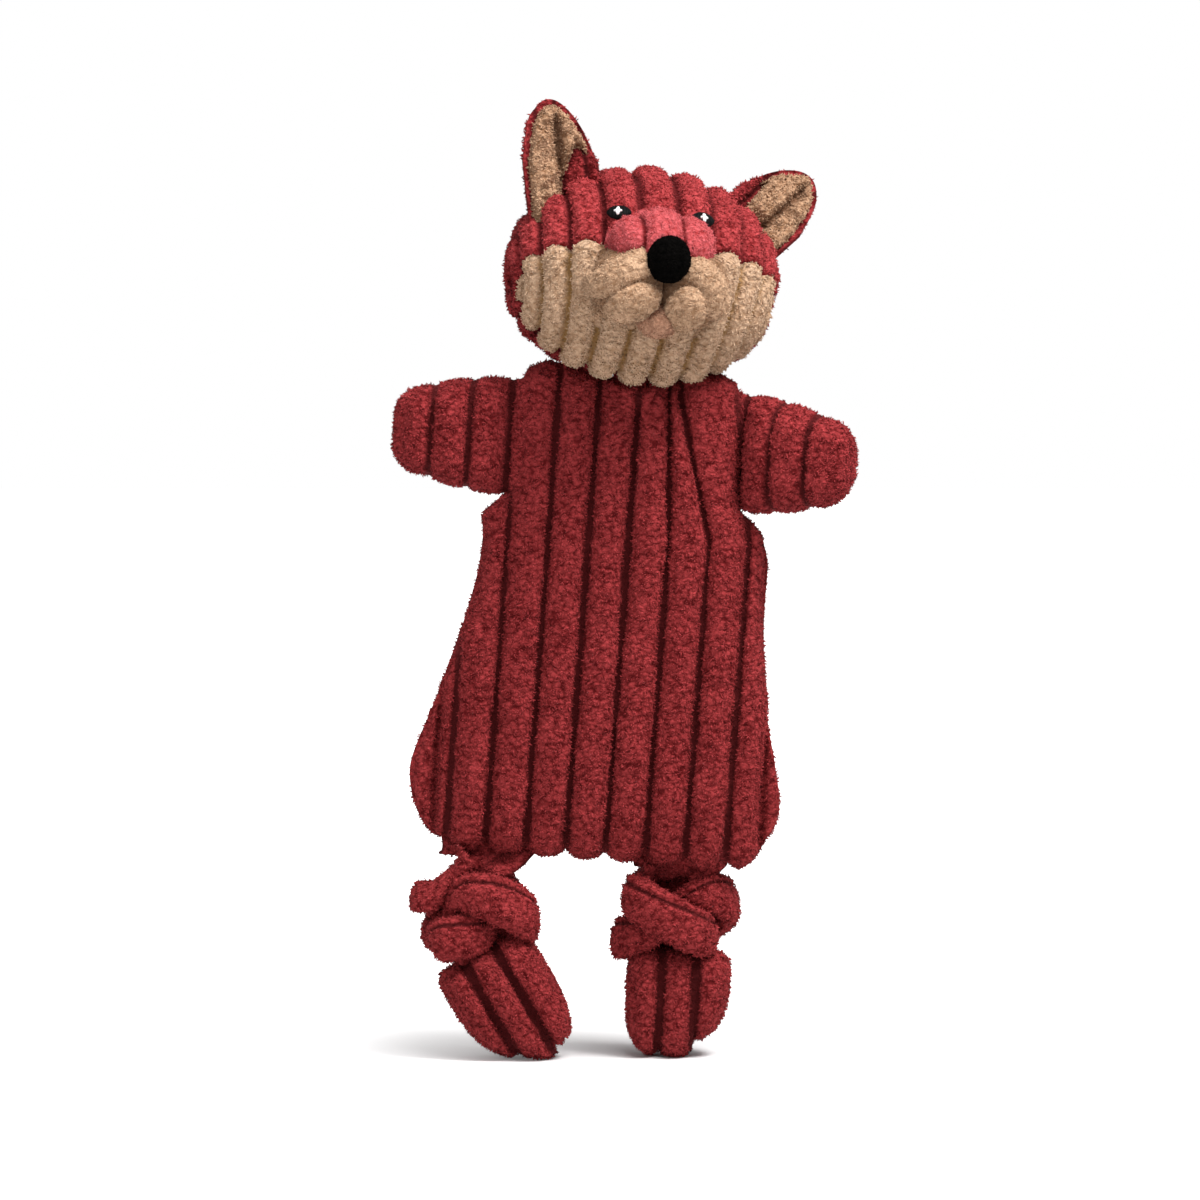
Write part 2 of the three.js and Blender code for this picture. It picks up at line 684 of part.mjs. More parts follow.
// An embroidered eye lies on the crown, square to the ball, with a white glint on it
function addEye(head, name, side, grownHead) {
  const level = 1 - (eyeSide / headHalfWidth) ** 2 - (eyeLift / headHalfHeight) ** 2;
  const spot = new THREE.Vector3(side * eyeSide, -headHalfDepth * Math.sqrt(level), eyeLift);
  const outwards = new THREE.Vector3(
    spot.x / headHalfWidth ** 2,
    spot.y / headHalfDepth ** 2,
    spot.z / headHalfHeight ** 2,
  ).normalize();
  const turn = new THREE.Quaternion().setFromUnitVectors(new THREE.Vector3(0, -1, 0), outwards);
  const disc = (radii, lift, shift) => {
    const ball = new THREE.SphereGeometry(1, eyeSides, eyeRings);
    ball.rotateX(Math.PI / 2);
    ball.scale(...radii);
    ball.translate(shift[0], -lift, shift[1]);
    ball.applyQuaternion(turn);
    ball.translate(spot.x, spot.y, spot.z);
    return solidOf(ball);
  };
  const lift = headRibHeight;
  const eye = (grow) => disc([eyeHalfWidth + grow, eyeThickness + grow, eyeHalfHeight + grow], lift, [0, 0]);
  const glintShift = [eyeHalfWidth * glintSideShare, eyeHalfHeight * glintLiftShare];
  const glint = disc([glintRadius, glintThickness, glintRadius], lift + eyeThickness, glintShift);
  head.add(piece(`eye_${name}`, eye(0).subtract(grownHead), blackFelt));
  head.add(piece(`eye_${name}_glint`, glint.subtract(eye(seamGap)), whiteThread));
}

// Where an ear's middle line leaves the ribbed ball
function earRoot(pose) {
  const radii = new THREE.Vector3(headHalfWidth, headHalfDepth, headHalfHeight).addScalar(headRibHeight);
  const start = new THREE.Vector3().setFromMatrixPosition(pose);
  const along = new THREE.Vector3().setFromMatrixColumn(pose, 2);
  const from = start.clone().divide(radii);
  const way = along.clone().divide(radii);
  const [a, b, c] = [way.dot(way), from.dot(way), from.dot(from) - 1];
  return start.addScaledVector(along, (-b + Math.sqrt(b * b - a * c)) / a);
}

function axisOf(pose) {
  return new THREE.Vector3().setFromMatrixColumn(pose, 0);
}

// Ears: a cupped leaf of two layers, the shell behind and the tan lining in front, rounded at the
// root so that it can fold forwards and back
function addEar(head, name, side) {
  const place = earPlaces[name];
  const pose = new THREE.Matrix4().makeRotationFromEuler(new THREE.Euler(
    degToRad(-place.back),
    degToRad(place.lean),
    degToRad(place.turn),
    'ZYX',
  ));
  pose.setPosition(place.side, -place.depth, place.lift);
  const clearBall = headBall(-earBaseClearance, true);
  const root = earRoot(pose);
  const folded = (angle) => {
    const turn = new THREE.Matrix4().makeTranslation(...root)
      .multiply(new THREE.Matrix4().makeRotationAxis(axisOf(pose), angle))
      .multiply(new THREE.Matrix4().makeTranslation(...root.clone().negate()));
    return clearBall.transform(turn.elements);
  };
  const swept = evenPlaces(-degToRad(earFold), degToRad(earFold), earFoldSteps).map(folded);
  const leaf = (inset, facing, thickness) => {
    const halfWidth = earHalfWidth - inset;
    const middle = (x) => -earCup * (x / earHalfWidth) ** 2 + facing * seamGap / 2;
    const outer = (x, share) => middle(x) + facing
      * lerp(earEdgeThickness, thickness, domeShare(x, halfWidth) * domeShare(share, 1));
    const columns = evenPlaces(-halfWidth, halfWidth, earColumns);
    return padSolid({
      columns,
      rowShares: earRowShares,
      sides: () => [-halfWidth, halfWidth],
      low: () => 0,
      high: (x) => (earLength - inset) * along(earOutlineShares, -side * x / halfWidth),
      front: facing < 0 ? outer : middle,
      back: facing < 0 ? middle : outer,
      pose,
    }).subtract(wasm.Manifold.union(swept));
  };
  head.add(piece(`ear_${name}_shell`, leaf(0, 1, earShellThickness), redPlush));
  head.add(piece(`ear_${name}_lining`, leaf(earLiningInset, -1, earLiningThickness), tanPlush));
}

// Neck: a gathered stub whose round lower end turns in the collar
function makeNeck() {
  const neck = new THREE.Group();
  const roundEnd = evenPlaces(-Math.PI / 2, 0, neckRings)
    .map((angle) => new THREE.Vector2(neckRadius * Math.cos(angle), neckRadius * Math.sin(angle)));
  roundEnd[0].x = 0;
  const stem = neckLength - neckRadius;
  const gathers = neckGatherShares
    .map(([rise, width]) => new THREE.Vector2(neckRadius * width, stem * rise));
  const stub = new THREE.LatheGeometry([...roundEnd, ...gathers, new THREE.Vector2(0, stem)], neckSides);
  stub.rotateX(Math.PI / 2);
  neck.add(piece('neck_gather', solidOf(stub), redPlush));
  neck.add(makeHead());
  const lean = degToRad(torsoLean);
  neck.position.set(
    hemSideShift + neckSide * Math.cos(lean) + neckRise * Math.sin(lean),
    0,
    hemHeight - neckSide * Math.sin(lean) + neckRise * Math.cos(lean),
  );
  neck.rotation.set(degToRad(headPitch), degToRad(headRoll), 0);
  return neck;
}

// Middle line of a leg: down from the hem, round the knot and down to the foot. The knot winds
// twice round its own upright axis and three times in and out, which makes it a true overhand knot.
function strapCurve(topRise, endDrop, { knotTurn, knotShift }) {
  const points = [];
  const upright = new THREE.Vector3(0, 0, 1);
  const place = (side, depth, rise) => {
    const point = new THREE.Vector3(side, depth, rise).applyAxisAngle(upright, degToRad(knotTurn));
    point.x = point.x * knotWideShare + knotShift;
    point.y *= knotDeepShare;
    return point;
  };
  const lead = (sign, rise) => {
    const places = knotLeadShares.map(([side, depth, height]) => place(
      sign * side * knotRadius,
      depth * knotRadius,
      sign * height * knotRise,
    ));
    return [...places, new THREE.Vector3(0, 0, rise)];
  };
  points.push(...lead(1, topRise).reverse());
  for (const turn of evenPlaces(-knotTurns, knotTurns, knotSteps)) {
    const angle = turn * Math.PI;
    const radius = knotRadius - knotSpread * Math.cos(1.5 * angle);
    const rise = -knotRise * Math.sin(1.5 * angle);
    points.push(place(radius * Math.sin(angle), radius * Math.cos(angle), rise));
  }
  points.push(...lead(-1, -endDrop));
  return new THREE.CatmullRomCurve3(points, false, 'centripetal');
}

// Rings of the flat strap along its curve; the flat side faces away from the knot's axis, and the
// strap is squeezed where it runs through the core and full where it wraps round the outside
function strapRings(curve, { knotShift }, steps, sides) {
  const length = curve.getLength();
  return evenPlaces(0, 1, steps).map((share) => {
    const centre = curve.getPointAt(share);
    const tied = clamp(Math.min(share, 1 - share) / knotLeadShare, 0, 1);
    const eased = tied * tied * (3 - 2 * tied);
    const forward = new THREE.Vector3(0, 0, -1).lerp(curve.getTangentAt(share), eased).normalize();
    const fromAxis = centre.x - knotShift;
    const radial = new THREE.Vector3(fromAxis, centre.y, 0).normalize();
    const facing = new THREE.Vector3(0, 1, 0).lerp(radial, eased);
    const across = new THREE.Vector3().crossVectors(forward, facing).normalize();
    const out = new THREE.Vector3().crossVectors(across, forward).normalize();
    const [endWidth, endThickness] = share < 0.5
      ? [strapHalfWidth, strapHalfThickness]
      : [strapEndHalfWidth, strapEndHalfThickness];
    const reach = Math.hypot(fromAxis / knotWideShare, centre.y / knotDeepShare);
    const inside = clamp(0.5 - (reach - knotRadius) / (2 * knotSpread), 0, 1);
    const outside = 1 - inside * inside;
    const width = lerp(endWidth, lerp(knotCoreHalfWidth, knotHalfWidth, outside), eased);
    const thickness = lerp(endThickness, lerp(knotCoreHalfThickness, knotHalfThickness, outside), eased);
    const beyond = clamp(1 - length * Math.min(share, 1 - share) / endThickness, 0, 1);
    const round = Math.max(Math.sqrt(1 - beyond * beyond), strapEndRoundShare);
    return evenPlaces(0, 2 * Math.PI, sides).map((angle) => centre.clone()
      .addScaledVector(across, width * Math.cos(angle))
      .addScaledVector(out, -thickness * round * Math.sin(angle)));
  });
}

// Least distance between stretches of the strap that lie apart along it
function strapSelfGap(curve, place) {
  const rings = strapRings(curve, place, knotSteps * knotGapSampling, knotSides * 2);
  const apart = Math.ceil(rings.length * knotApartShare);
  let least = Infinity;
  for (let i = 0; i < rings.length; i += 1) {
    for (let j = i + apart; j < rings.length; j += 1) {
      for (const a of rings[i]) {
        for (const b of rings[j]) least = Math.min(least, a.distanceTo(b));
      }
    }
  }
  return least;
}

function strapSolid(curve, place) {
  const rings = strapRings(curve, place, knotSteps + 2 * knotLeadSteps, knotSides);
  const capped = [
    rings[0].map(() => curve.getPointAt(0)),
    ...rings,
    rings[0].map(() => curve.getPointAt(1)),
  ];
  const columns = capped[0].map((_, side) => capped.map((ring) => ring[side].toArray()));
  return solidOf(closedSweep(columns));
}

// Foot: a ribbed pouch hanging from the end of the strap
function footPad(tilt, drop, inset, ribbed, topGrow) {
  const turn = degToRad(tilt);
  const cornerStart = footRibPitch / 2;
  const cornerReach = footHalfWidth - cornerStart;
  const low = (x) => {
    const level = (x * Math.sin(turn) - drop + footEndDrop) / Math.cos(turn);
    const corner = footCornerRise * clamp((x - cornerStart) / cornerReach + footCornerShare, 0, 1);
    const end = x > cornerStart ? corner : 0;
    return level + end + inset - ribBump(x - cornerStart, footRibPitch, footEndDrop);
  };
  const width = (share) => footHalfWidth * along(footWidthShares, share) - inset;
  const depth = (x, share) => {
    const fullness = along(footRiseShares, share) * domeShare(x, width(share) + inset);
    const plain = lerp(footEdgeThickness / 2, footThickness / 2 - ribHeight, fullness) - inset;
    return plain + (ribbed ? ribBump(x - footRibPitch / 2, footRibPitch, ribHeight) : 0);
  };
  const columns = ribbed
    ? ribPlaces(-footHalfWidth, footHalfWidth, footRibPitch, footRibPitch / 2, ribPointShares)
    : evenPlaces(-footHalfWidth, footHalfWidth, footInsideColumns);
  return padSolid({
    columns,
    rowShares: footRowShares,
    sides: (share) => [-width(share), width(share)],
    low,
    high: () => footTopRise + topGrow,
    front: (x, share) => -depth(x, share),
    back: depth,
    pose: new THREE.Matrix4().makeRotationY(turn),
  });
}

// Height of the torso's hem over the floor at a side shift
function hemFloorHeight(side) {
  const lean = degToRad(torsoLean);
  const lowest = -(hemDrop + ribEndDrop);
  return hemHeight + (lowest - (side - hemSideShift) * Math.sin(lean)) / Math.cos(lean);
}

function makeLeg(name) {
  const place = legPlaces[name];
  const { side, depth, knotHeight } = place;
  const tilt = footTilts[name];
  const leg = new THREE.Group();
  const topRise = hemFloorHeight(side + strapHalfWidth) - seamGap - knotHeight;
  const curve = strapCurve(topRise, ankleDrop, place);
  const gap = strapSelfGap(curve, place);
  console.log(`${name} knot, least gap of the strap to itself: ${gap.toFixed(2)} mm`);
  if (gap < knotGapLimit) console.warn(`the ${name} knot touches itself`);
  leg.add(piece(`leg_${name}_strap`, strapSolid(curve, place), redPlush));
  const ankle = knotHeight - ankleDrop - ankleGap;
  const drop = ankle + soleCut;
  const reach = 4 * footHalfWidth;
  const standing = boxSolid([-reach, -reach, -ankle], [reach, reach, 0]);
  const skin = footPad(tilt, drop, 0, true, 0)
    .subtract(footPad(tilt, drop, skinThickness, false, overrun))
    .intersect(standing);
  const stuffing = footPad(tilt, drop, skinThickness + fillingGap, false, 0).intersect(standing);
  const foot = new THREE.Group();
  foot.add(piece(`foot_${name}_skin`, skin, redPlush));
  foot.add(piece(`foot_${name}_filling`, stuffing, filling));
  foot.position.z = ankle - knotHeight;
  leg.add(foot);
  leg.position.set(side, depth, knotHeight);
  return leg;
}

const toy = new THREE.Group();
toy.add(makeTorso(), makeNeck(), makeLeg('left'), makeLeg('right'));
toy.updateMatrixWorld(true);
const middle = new THREE.Box3().setFromObject(toy, true).getCenter(new THREE.Vector3());
toy.position.set(-middle.x, -middle.y, 0);
toy.updateMatrixWorld(true);

export default toy;
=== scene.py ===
"""Looks of the flat plush fox toy: ribbed plush skins with a curly pile, felt nose, stitched eyes."""

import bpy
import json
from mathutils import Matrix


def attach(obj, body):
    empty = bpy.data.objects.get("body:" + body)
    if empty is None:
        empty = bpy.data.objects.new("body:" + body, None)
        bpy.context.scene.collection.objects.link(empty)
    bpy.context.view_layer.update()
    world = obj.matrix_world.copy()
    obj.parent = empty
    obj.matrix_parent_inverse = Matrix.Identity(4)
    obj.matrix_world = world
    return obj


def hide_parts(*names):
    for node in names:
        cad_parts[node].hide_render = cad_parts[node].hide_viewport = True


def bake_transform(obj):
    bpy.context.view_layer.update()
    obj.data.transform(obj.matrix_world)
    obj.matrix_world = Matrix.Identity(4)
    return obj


bl_info = {
    "name": "Flat plush fox toy",
    "version": (1, 0, 0),
    "blender": (4, 5, 0),
    "location": "View3D > Sidebar > Plush fox",
    "description": "Builds the plush skins, the face, the knotted legs and the photo stage of a flat fox toy",
    "category": "Object",
}

import json
import math
from types import SimpleNamespace as Sizes

import bpy
import numpy as np
from mathutils import Matrix, Vector

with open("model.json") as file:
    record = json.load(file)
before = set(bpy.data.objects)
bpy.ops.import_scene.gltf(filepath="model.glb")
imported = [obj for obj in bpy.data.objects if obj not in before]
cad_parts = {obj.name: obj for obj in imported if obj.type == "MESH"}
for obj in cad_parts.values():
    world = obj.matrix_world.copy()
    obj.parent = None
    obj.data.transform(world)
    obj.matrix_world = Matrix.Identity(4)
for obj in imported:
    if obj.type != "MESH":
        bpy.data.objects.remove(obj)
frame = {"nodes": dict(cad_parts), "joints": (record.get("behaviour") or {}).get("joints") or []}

MM = 0.001
JOINTS = {joint["name"]: joint for joint in frame["joints"]}


def pivot(name):
    """Place of a joint in millimetres."""
    return np.array(JOINTS[name]["pos_m"]) / MM


# The solids are shifted so that their box stands on the origin; the left hip gives the shift
SHIFT = np.array([pivot("hip_left")[0] + 46.0, pivot("hip_left")[1] + 4.0, 0.0])

# Sizes of the toy in millimetres, a little fuller than the solids in the frame.
# A table of (place, value) pairs is read with along(); its values are shares of the size that it goes with.
SEAM_GAP = 0.15
FULLER = 0.4
SCALLOP = 0.8
WAVE_SIZE, LUMP_SIZE, CLUMP_SIZE, STRAND_SIZE = 16, 7, 2.3, 1.2
SKIN = Sizes(pitch=13.8, height=2.4, relief=4.6, pile=0.3)
TORSO = Sizes(
    height=162.0, hem=6.0, rib_end=3.0, back_half=64.0, front_half=56.0, thickness=27.0, edge=5.0,
    rib_offset=2.7, lean=4.2, hem_height=77.6, side_shift=-7.2, dip=7.2, collar=30.0, slope=0.5,
    widths=[
        (0, 0.78), (0.036, 0.89), (0.096, 0.977), (0.156, 1), (0.22, 0.97), (0.293, 0.92),
        (0.407, 0.85), (0.575, 0.775), (0.7, 0.755), (0.722, 0.745), (0.75, 0.63), (0.95, 0.615), (1, 0.56),
    ],
    skews=[(0, -0.015), (0.2, -0.045), (0.36, -0.03), (0.52, 0.01), (0.66, 0.04), (0.73, 0), (1, 0)],
    skew_front=0.5, collar_rise=2.3, collar_ease=6,
    rises=[(0, 0.5), (0.06, 0.86), (0.16, 1), (0.7, 0.96), (0.88, 0.8), (0.96, 0.5), (1, 0.22)],
    grid=(240, 180), side_roll=4.0, end_roll=5.0, fold_start=105, fold_height=48,
    pinch=((7, -3.0), (8, -14.0), (9, -7.0), (10, -3.0)), strip_start=1.2, strip_rise=2.6, strip_roll=4.0,
)
HEAD = Sizes(
    width=46.5, depth=37.5, height=35.2, ribs=22, rib_height=1.7, pitch=-6.0, roll=4.6, yaw=9.5, lift=39.8,
    face_seam=12.0, seam_tilt=12.0, crown_seam=2.0, brow=3.0, brow_depth=17.6, brow_tilt=23.0, gather=0.3,
    gather_shift=0.07, pitch_mm=13.3, relief=4.0, hang=3.8, jowl=0.06, grid=(340, 190), cloth=2.4,
    seam_depth=1.8, seam_roll=3.5,
)
BALL = np.array([HEAD.width, HEAD.depth, HEAD.height])
ARM = Sizes(
    length=40.0, root=41.0, pitch=13.3, thickness=25.0, edge=7.2, inset=4.5, shoulder=40.7, lift=135.0,
    swing=dict(left=4.0, right=-26.0), start=-6.0, roll=7.5, grid=(72, 76), waist=0.055,
    tips=[(0, 1), (0.33, 0.94), (0.66, 0.8), (0.86, 0.68), (0.95, 0.54), (1, 0.36)],
    rises=[(0, 0), (0.1, 0.06), (0.24, 0.62), (0.42, 1), (0.75, 0.92), (0.93, 0.66), (1, 0.4)],
)
POUCH = Sizes(skin=2.4, ribs=2.3, relief=3.8, pile=0.9, unevenness=0.9)
NECK = Sizes(
    side=0.2, rise=154.0, reach=10.6, roll=2.5, grid=(120, 40),
    profile=[
        (-8, 0.05), (-7.4, 3.2), (-5.6, 5.7), (-3, 7.4), (0, 7.9), (3.8, 7.2), (5.6, 6.9), (7.6, 7.6),
        (9, 7.8),
    ],
)
KNOT = Sizes(
    half_width=11.0, half_thickness=3.4, knot_width=8.0, knot_thickness=4.5, core_width=3.2,
    core_thickness=3.0, radius=9.6, spread=4.2, wide=1.5, deep=0.96, rise=7.2, turns=5 / 3,
    end_width=8.0, ankle_drop=17.8, ankle_gap=0.5, fan=dict(left=0.6, right=1.0), fan_width=16.0,
    fan_share=0.09, fan_thickness=2.4,
    sag=dict(left=5.5, right=0.0), grid=(200, 44), hidden=8.0, squareness=0.8, edge_groove=1.3,
    leads=[(0.5, 1.05, 1.3), (0.1, 0.6, 1.85)], lead_share=0.06,
    places=dict(left=(-46.0, -4.0, 51.0), right=(20.5, 4.0, 49.4)),
    turn=dict(left=120.0, right=60.0), shift=dict(left=-5.4, right=-3.0),
)
FOOT = Sizes(
    half_width=17.8, pitch=11.8, thickness=25.0, edge=7.0, end=2.2, corner=6.5, corner_share=0.6,
    tilts=dict(left=-30.0, right=3.0), top=5.5, roll=6.5, grid=(60, 72), bare=3.2, floor=0.3,
    widths=[(0, 0.84), (0.1, 0.96), (0.3, 1), (0.7, 0.95), (0.9, 0.76), (1, 0.5)],
    rises=[(0, 0.58), (0.08, 0.86), (0.3, 1), (0.75, 0.84), (0.93, 0.6), (1, 0.36)],
)
EAR = Sizes(
    length=42.0, half_width=13.5, shell=3.4, lining=2.6, cup=5.0, inset=2.4, rib_pitch=7.5,
    crease=dict(left=0.6, right=2.5), grid=(66, 92), roll=3.2, crease_width=1.5,
    flank=dict(
        left=[(0, 0.0), (0.34, 0.1), (0.51, 0.28), (0.75, 0.57), (0.9, 0.85), (1, 1)],
        right=[(0, 0.2), (0.25, 0.35), (0.45, 0.58), (0.7, 0.68), (0.93, 0.74), (1, 0.85)],
    ),
    outline=[(-1, 0.48), (-0.7, 0.8), (-0.35, 0.96), (0, 1), (0.35, 0.93), (0.7, 0.74), (1, 0.42)],
    places=dict(
        left=dict(side=-29.4, lift=16.2, depth=3.0, lean=-10.0, turn=6.0, back=4.0),
        right=dict(side=30.0, lift=11.8, depth=0.0, lean=43.0, turn=-10.0, back=28.0),
    ),
)
FLEW = Sizes(
    side=10.5, depth=37.0, drop=4.0, radii=(14.6, 17.6, 15.4), sunk=1.5,
    band_half=5.2, band_rise=3.5, lobe_rise=4.6,
    band=dict(
        left=[(-4.5, 5.0), (-10.5, 2.6), (-16.5, -0.8), (-21.5, -5.2)],
        right=[(5.5, 4.6), (11.5, 2.2), (16.5, -2.2), (18.8, -9.0)],
    ),
    lobe=dict(left=(-10.4, -10.8, 10.2, 6.6, 24.0), right=(7.9, -11.6, 7.4, 8.2, -10.0)),
)
BRIDGE = Sizes(centre=(0.0, -37.0, 10.0), radii=(18.0, 18.0, 12.0), pitch=15.0, shift=1.6)
CHIN = Sizes(centre=(0.0, -40.0, -16.0), radii=(7.0, 9.0, 6.0))
NOSE = Sizes(centre=(0.0, -54.0, 5.0), radii=(7.5, 7.0, 8.1))
EYE = Sizes(
    side=14.2, lift=19.0, half_width=4.3, thickness=1.5, half_height=2.9, point=1.12, glint=(1.3, 0.8, 1.2),
)
SIDES = (("left", -1), ("right", 1))

# Places of the stage in metres; a lamp has its name, its size and its place.
# The floor's own glow is least round the toy, where its shadow lies, and rises with the distance from it.
FLOOR_HALF = 2
SHADOW_REACH, SHADOW_GLOW, GLOW_SLOPE = 0.07, 0.38, 8.0
LAMPS = (("key", 0.7, (0.9, -0.7, 1.95)), ("top", 0.4, (0.12, -0.42, 0.78)), ("fill", 1.4, (-1.4, -1.5, 0.7)))
LAMP_AIM = Vector((0, 0, 0.16))
CAMERA_AIM = Vector((-0.0088, 0.0, 0.1592))


def place(x, y, z):
    return np.array(Matrix.Translation((x, y, z)))


def turned(axis, degrees):
    return np.array(Matrix.Rotation(math.radians(degrees), 4, axis))


TORSO_FRAME = place(TORSO.side_shift + SHIFT[0], SHIFT[1], TORSO.hem_height)
TORSO_FRAME = TORSO_FRAME @ turned("Y", TORSO.lean)
NECK_FRAME = place(*pivot("neck_nod")) @ turned("X", HEAD.pitch) @ turned("Y", HEAD.roll)
HEAD_FRAME = NECK_FRAME @ place(0, 0, HEAD.lift) @ turned("Z", HEAD.yaw)


def moved(points, matrix):
    return points @ matrix[:3, :3].T + matrix[:3, 3]


def along(table, share):
    """Smooth value of a table of (place, value) pairs."""
    places, values = np.array(table, float).T
    slopes = np.empty_like(values)
    slopes[1:-1] = (values[2:] - values[:-2]) / (places[2:] - places[:-2])
    slopes[0] = (values[1] - values[0]) / (places[1] - places[0])
    slopes[-1] = (values[-1] - values[-2]) / (places[-1] - places[-2])
    share = np.clip(share, places[0], places[-1])
    i = np.clip(np.searchsorted(places, share, side="right") - 1, 0, len(places) - 2)
    span = places[i + 1] - places[i]
    t = (share - places[i]) / span
    t2, t3 = t * t, t * t * t
    return (
        (2 * t3 - 3 * t2 + 1) * values[i] + (t3 - 2 * t2 + t) * slopes[i] * span
        + (3 * t2 - 2 * t3) * values[i + 1] + (t3 - t2) * slopes[i + 1] * span
    )


def eased(share):
    """Share that starts and ends gently."""
    return share * share * (3 - 2 * share)


def hashed(x, y, z, seed):
    """Random value from -1 to 1 for each cell of a lattice."""
    n = (x * 374761393 + y * 668265263 + z * 1442695041 + seed * 144665) & 0xFFFFFFFF
    n = ((n ^ (n >> 13)) * 1274126177) & 0xFFFFFFFF
    n = ((n ^ (n >> 15)) * 2246822519) & 0xFFFFFFFF
    return ((n ^ (n >> 16)) & 0xFFFF) / 32767.5 - 1.0


def noise(points, size, seed=0):
    """Smooth random value from -1 to 1 at each point, with features about size apart."""
    q = points / size
    i = np.floor(q).astype(np.int64)
    f = eased(q - i)
    total = 0.0
    for dx in (0, 1):
        wx = f[..., 0] if dx else 1 - f[..., 0]
        for dy in (0, 1):
            wy = f[..., 1] if dy else 1 - f[..., 1]
            for dz in (0, 1):
                wz = f[..., 2] if dz else 1 - f[..., 2]
                total = total + wx * wy * wz * hashed(i[..., 0] + dx, i[..., 1] + dy, i[..., 2] + dz, seed)
    return total


def wandering(points, size, seed):
    """Smooth random direction at each point."""
    return np.stack([noise(points, size, seed + k) for k in range(3)], axis=-1)


def rib_shape(phase, sharpness=0.42):
    """Height of a rib over its groove, from 0 in the groove to 1 along its middle."""
    return np.abs(np.sin(np.pi * phase)) ** sharpness


def cord(phase, pitch, groove=2.0):
    """Height of a round rib of the plush, from 0 in the bare groove beside it to 1 along its middle."""
    off = np.abs(phase - np.round(phase)) * pitch
    across = np.clip((off - groove / 2) / np.maximum(pitch / 2 - groove / 2, 0.1), 0, 1)
    return np.sqrt(np.clip(1 - (1 - across) ** 2.3, 0, 1))


def groove_share(phase, pitch, width=2.0):
    """1 in the bare groove between two ribs, 0 on the pile."""
    off = np.abs(phase - np.round(phase)) * pitch
    return np.clip((width / 2 + 0.35 - off) / 0.5, 0, 1)


def dome(offset, limit):
    """Share of full height across a stuffed form, 0 at the limit on both sides."""
    return np.sqrt(np.clip(1 - np.abs(offset / limit) ** 3, 0, 1))


def rounded(distance, radius):
    """Share of full depth at a distance inside a rolled edge."""
    left = 1 - np.clip(distance / radius, 0, 1)
    return np.sqrt(np.clip(1 - left * left, 0, 1))


def grid(first, second):
    return np.meshgrid(first, second, indexing="ij")


def ball_grid(columns, rows):
    """Turn and rise of the points of a closed ball."""
    return grid(np.linspace(0, 2 * math.pi, columns + 1), np.linspace(-0.5, 0.5, rows + 1) * math.pi)


def closed(values):
    """Joins the two ends of a ball's grid and draws its outer rows into the poles."""
    values[-1] = values[0]
    values[:, 0], values[:, -1] = values[0, 0], values[0, -1]
    return values


def border_of(values):
    """True along the four edges of a grid."""
    border = np.ones(values.shape, bool)
    border[1:-1, 1:-1] = False
    return border


def unit(vectors, least=0.0):
    return vectors / np.maximum(np.linalg.norm(vectors, axis=-1, keepdims=True), least)


def surface_normals(points):
    return unit(np.cross(np.gradient(points, axis=0), np.gradient(points, axis=1)), 1e-9)


def faced(normals, facing):
    """Normals turned to the front where facing is -1, to the back where it is 1."""
    return np.where(np.sign(normals[..., 1:2]) == facing, normals, -normals)


def ruffled(points, normals, amount, seed):
    """The cloth's own unevenness: slow waves, lumps of filling and clumps of pile."""
    slow = 0.55 * noise(points, WAVE_SIZE, seed) + 0.4 * noise(points, LUMP_SIZE, seed + 1)
    clumps = 0.8 * np.abs(noise(points, CLUMP_SIZE, seed + 2))
    clumps = clumps + 0.2 * noise(points, STRAND_SIZE, seed + 3) - 0.3
    return points + normals * ((slow + clumps) * amount)[..., None]


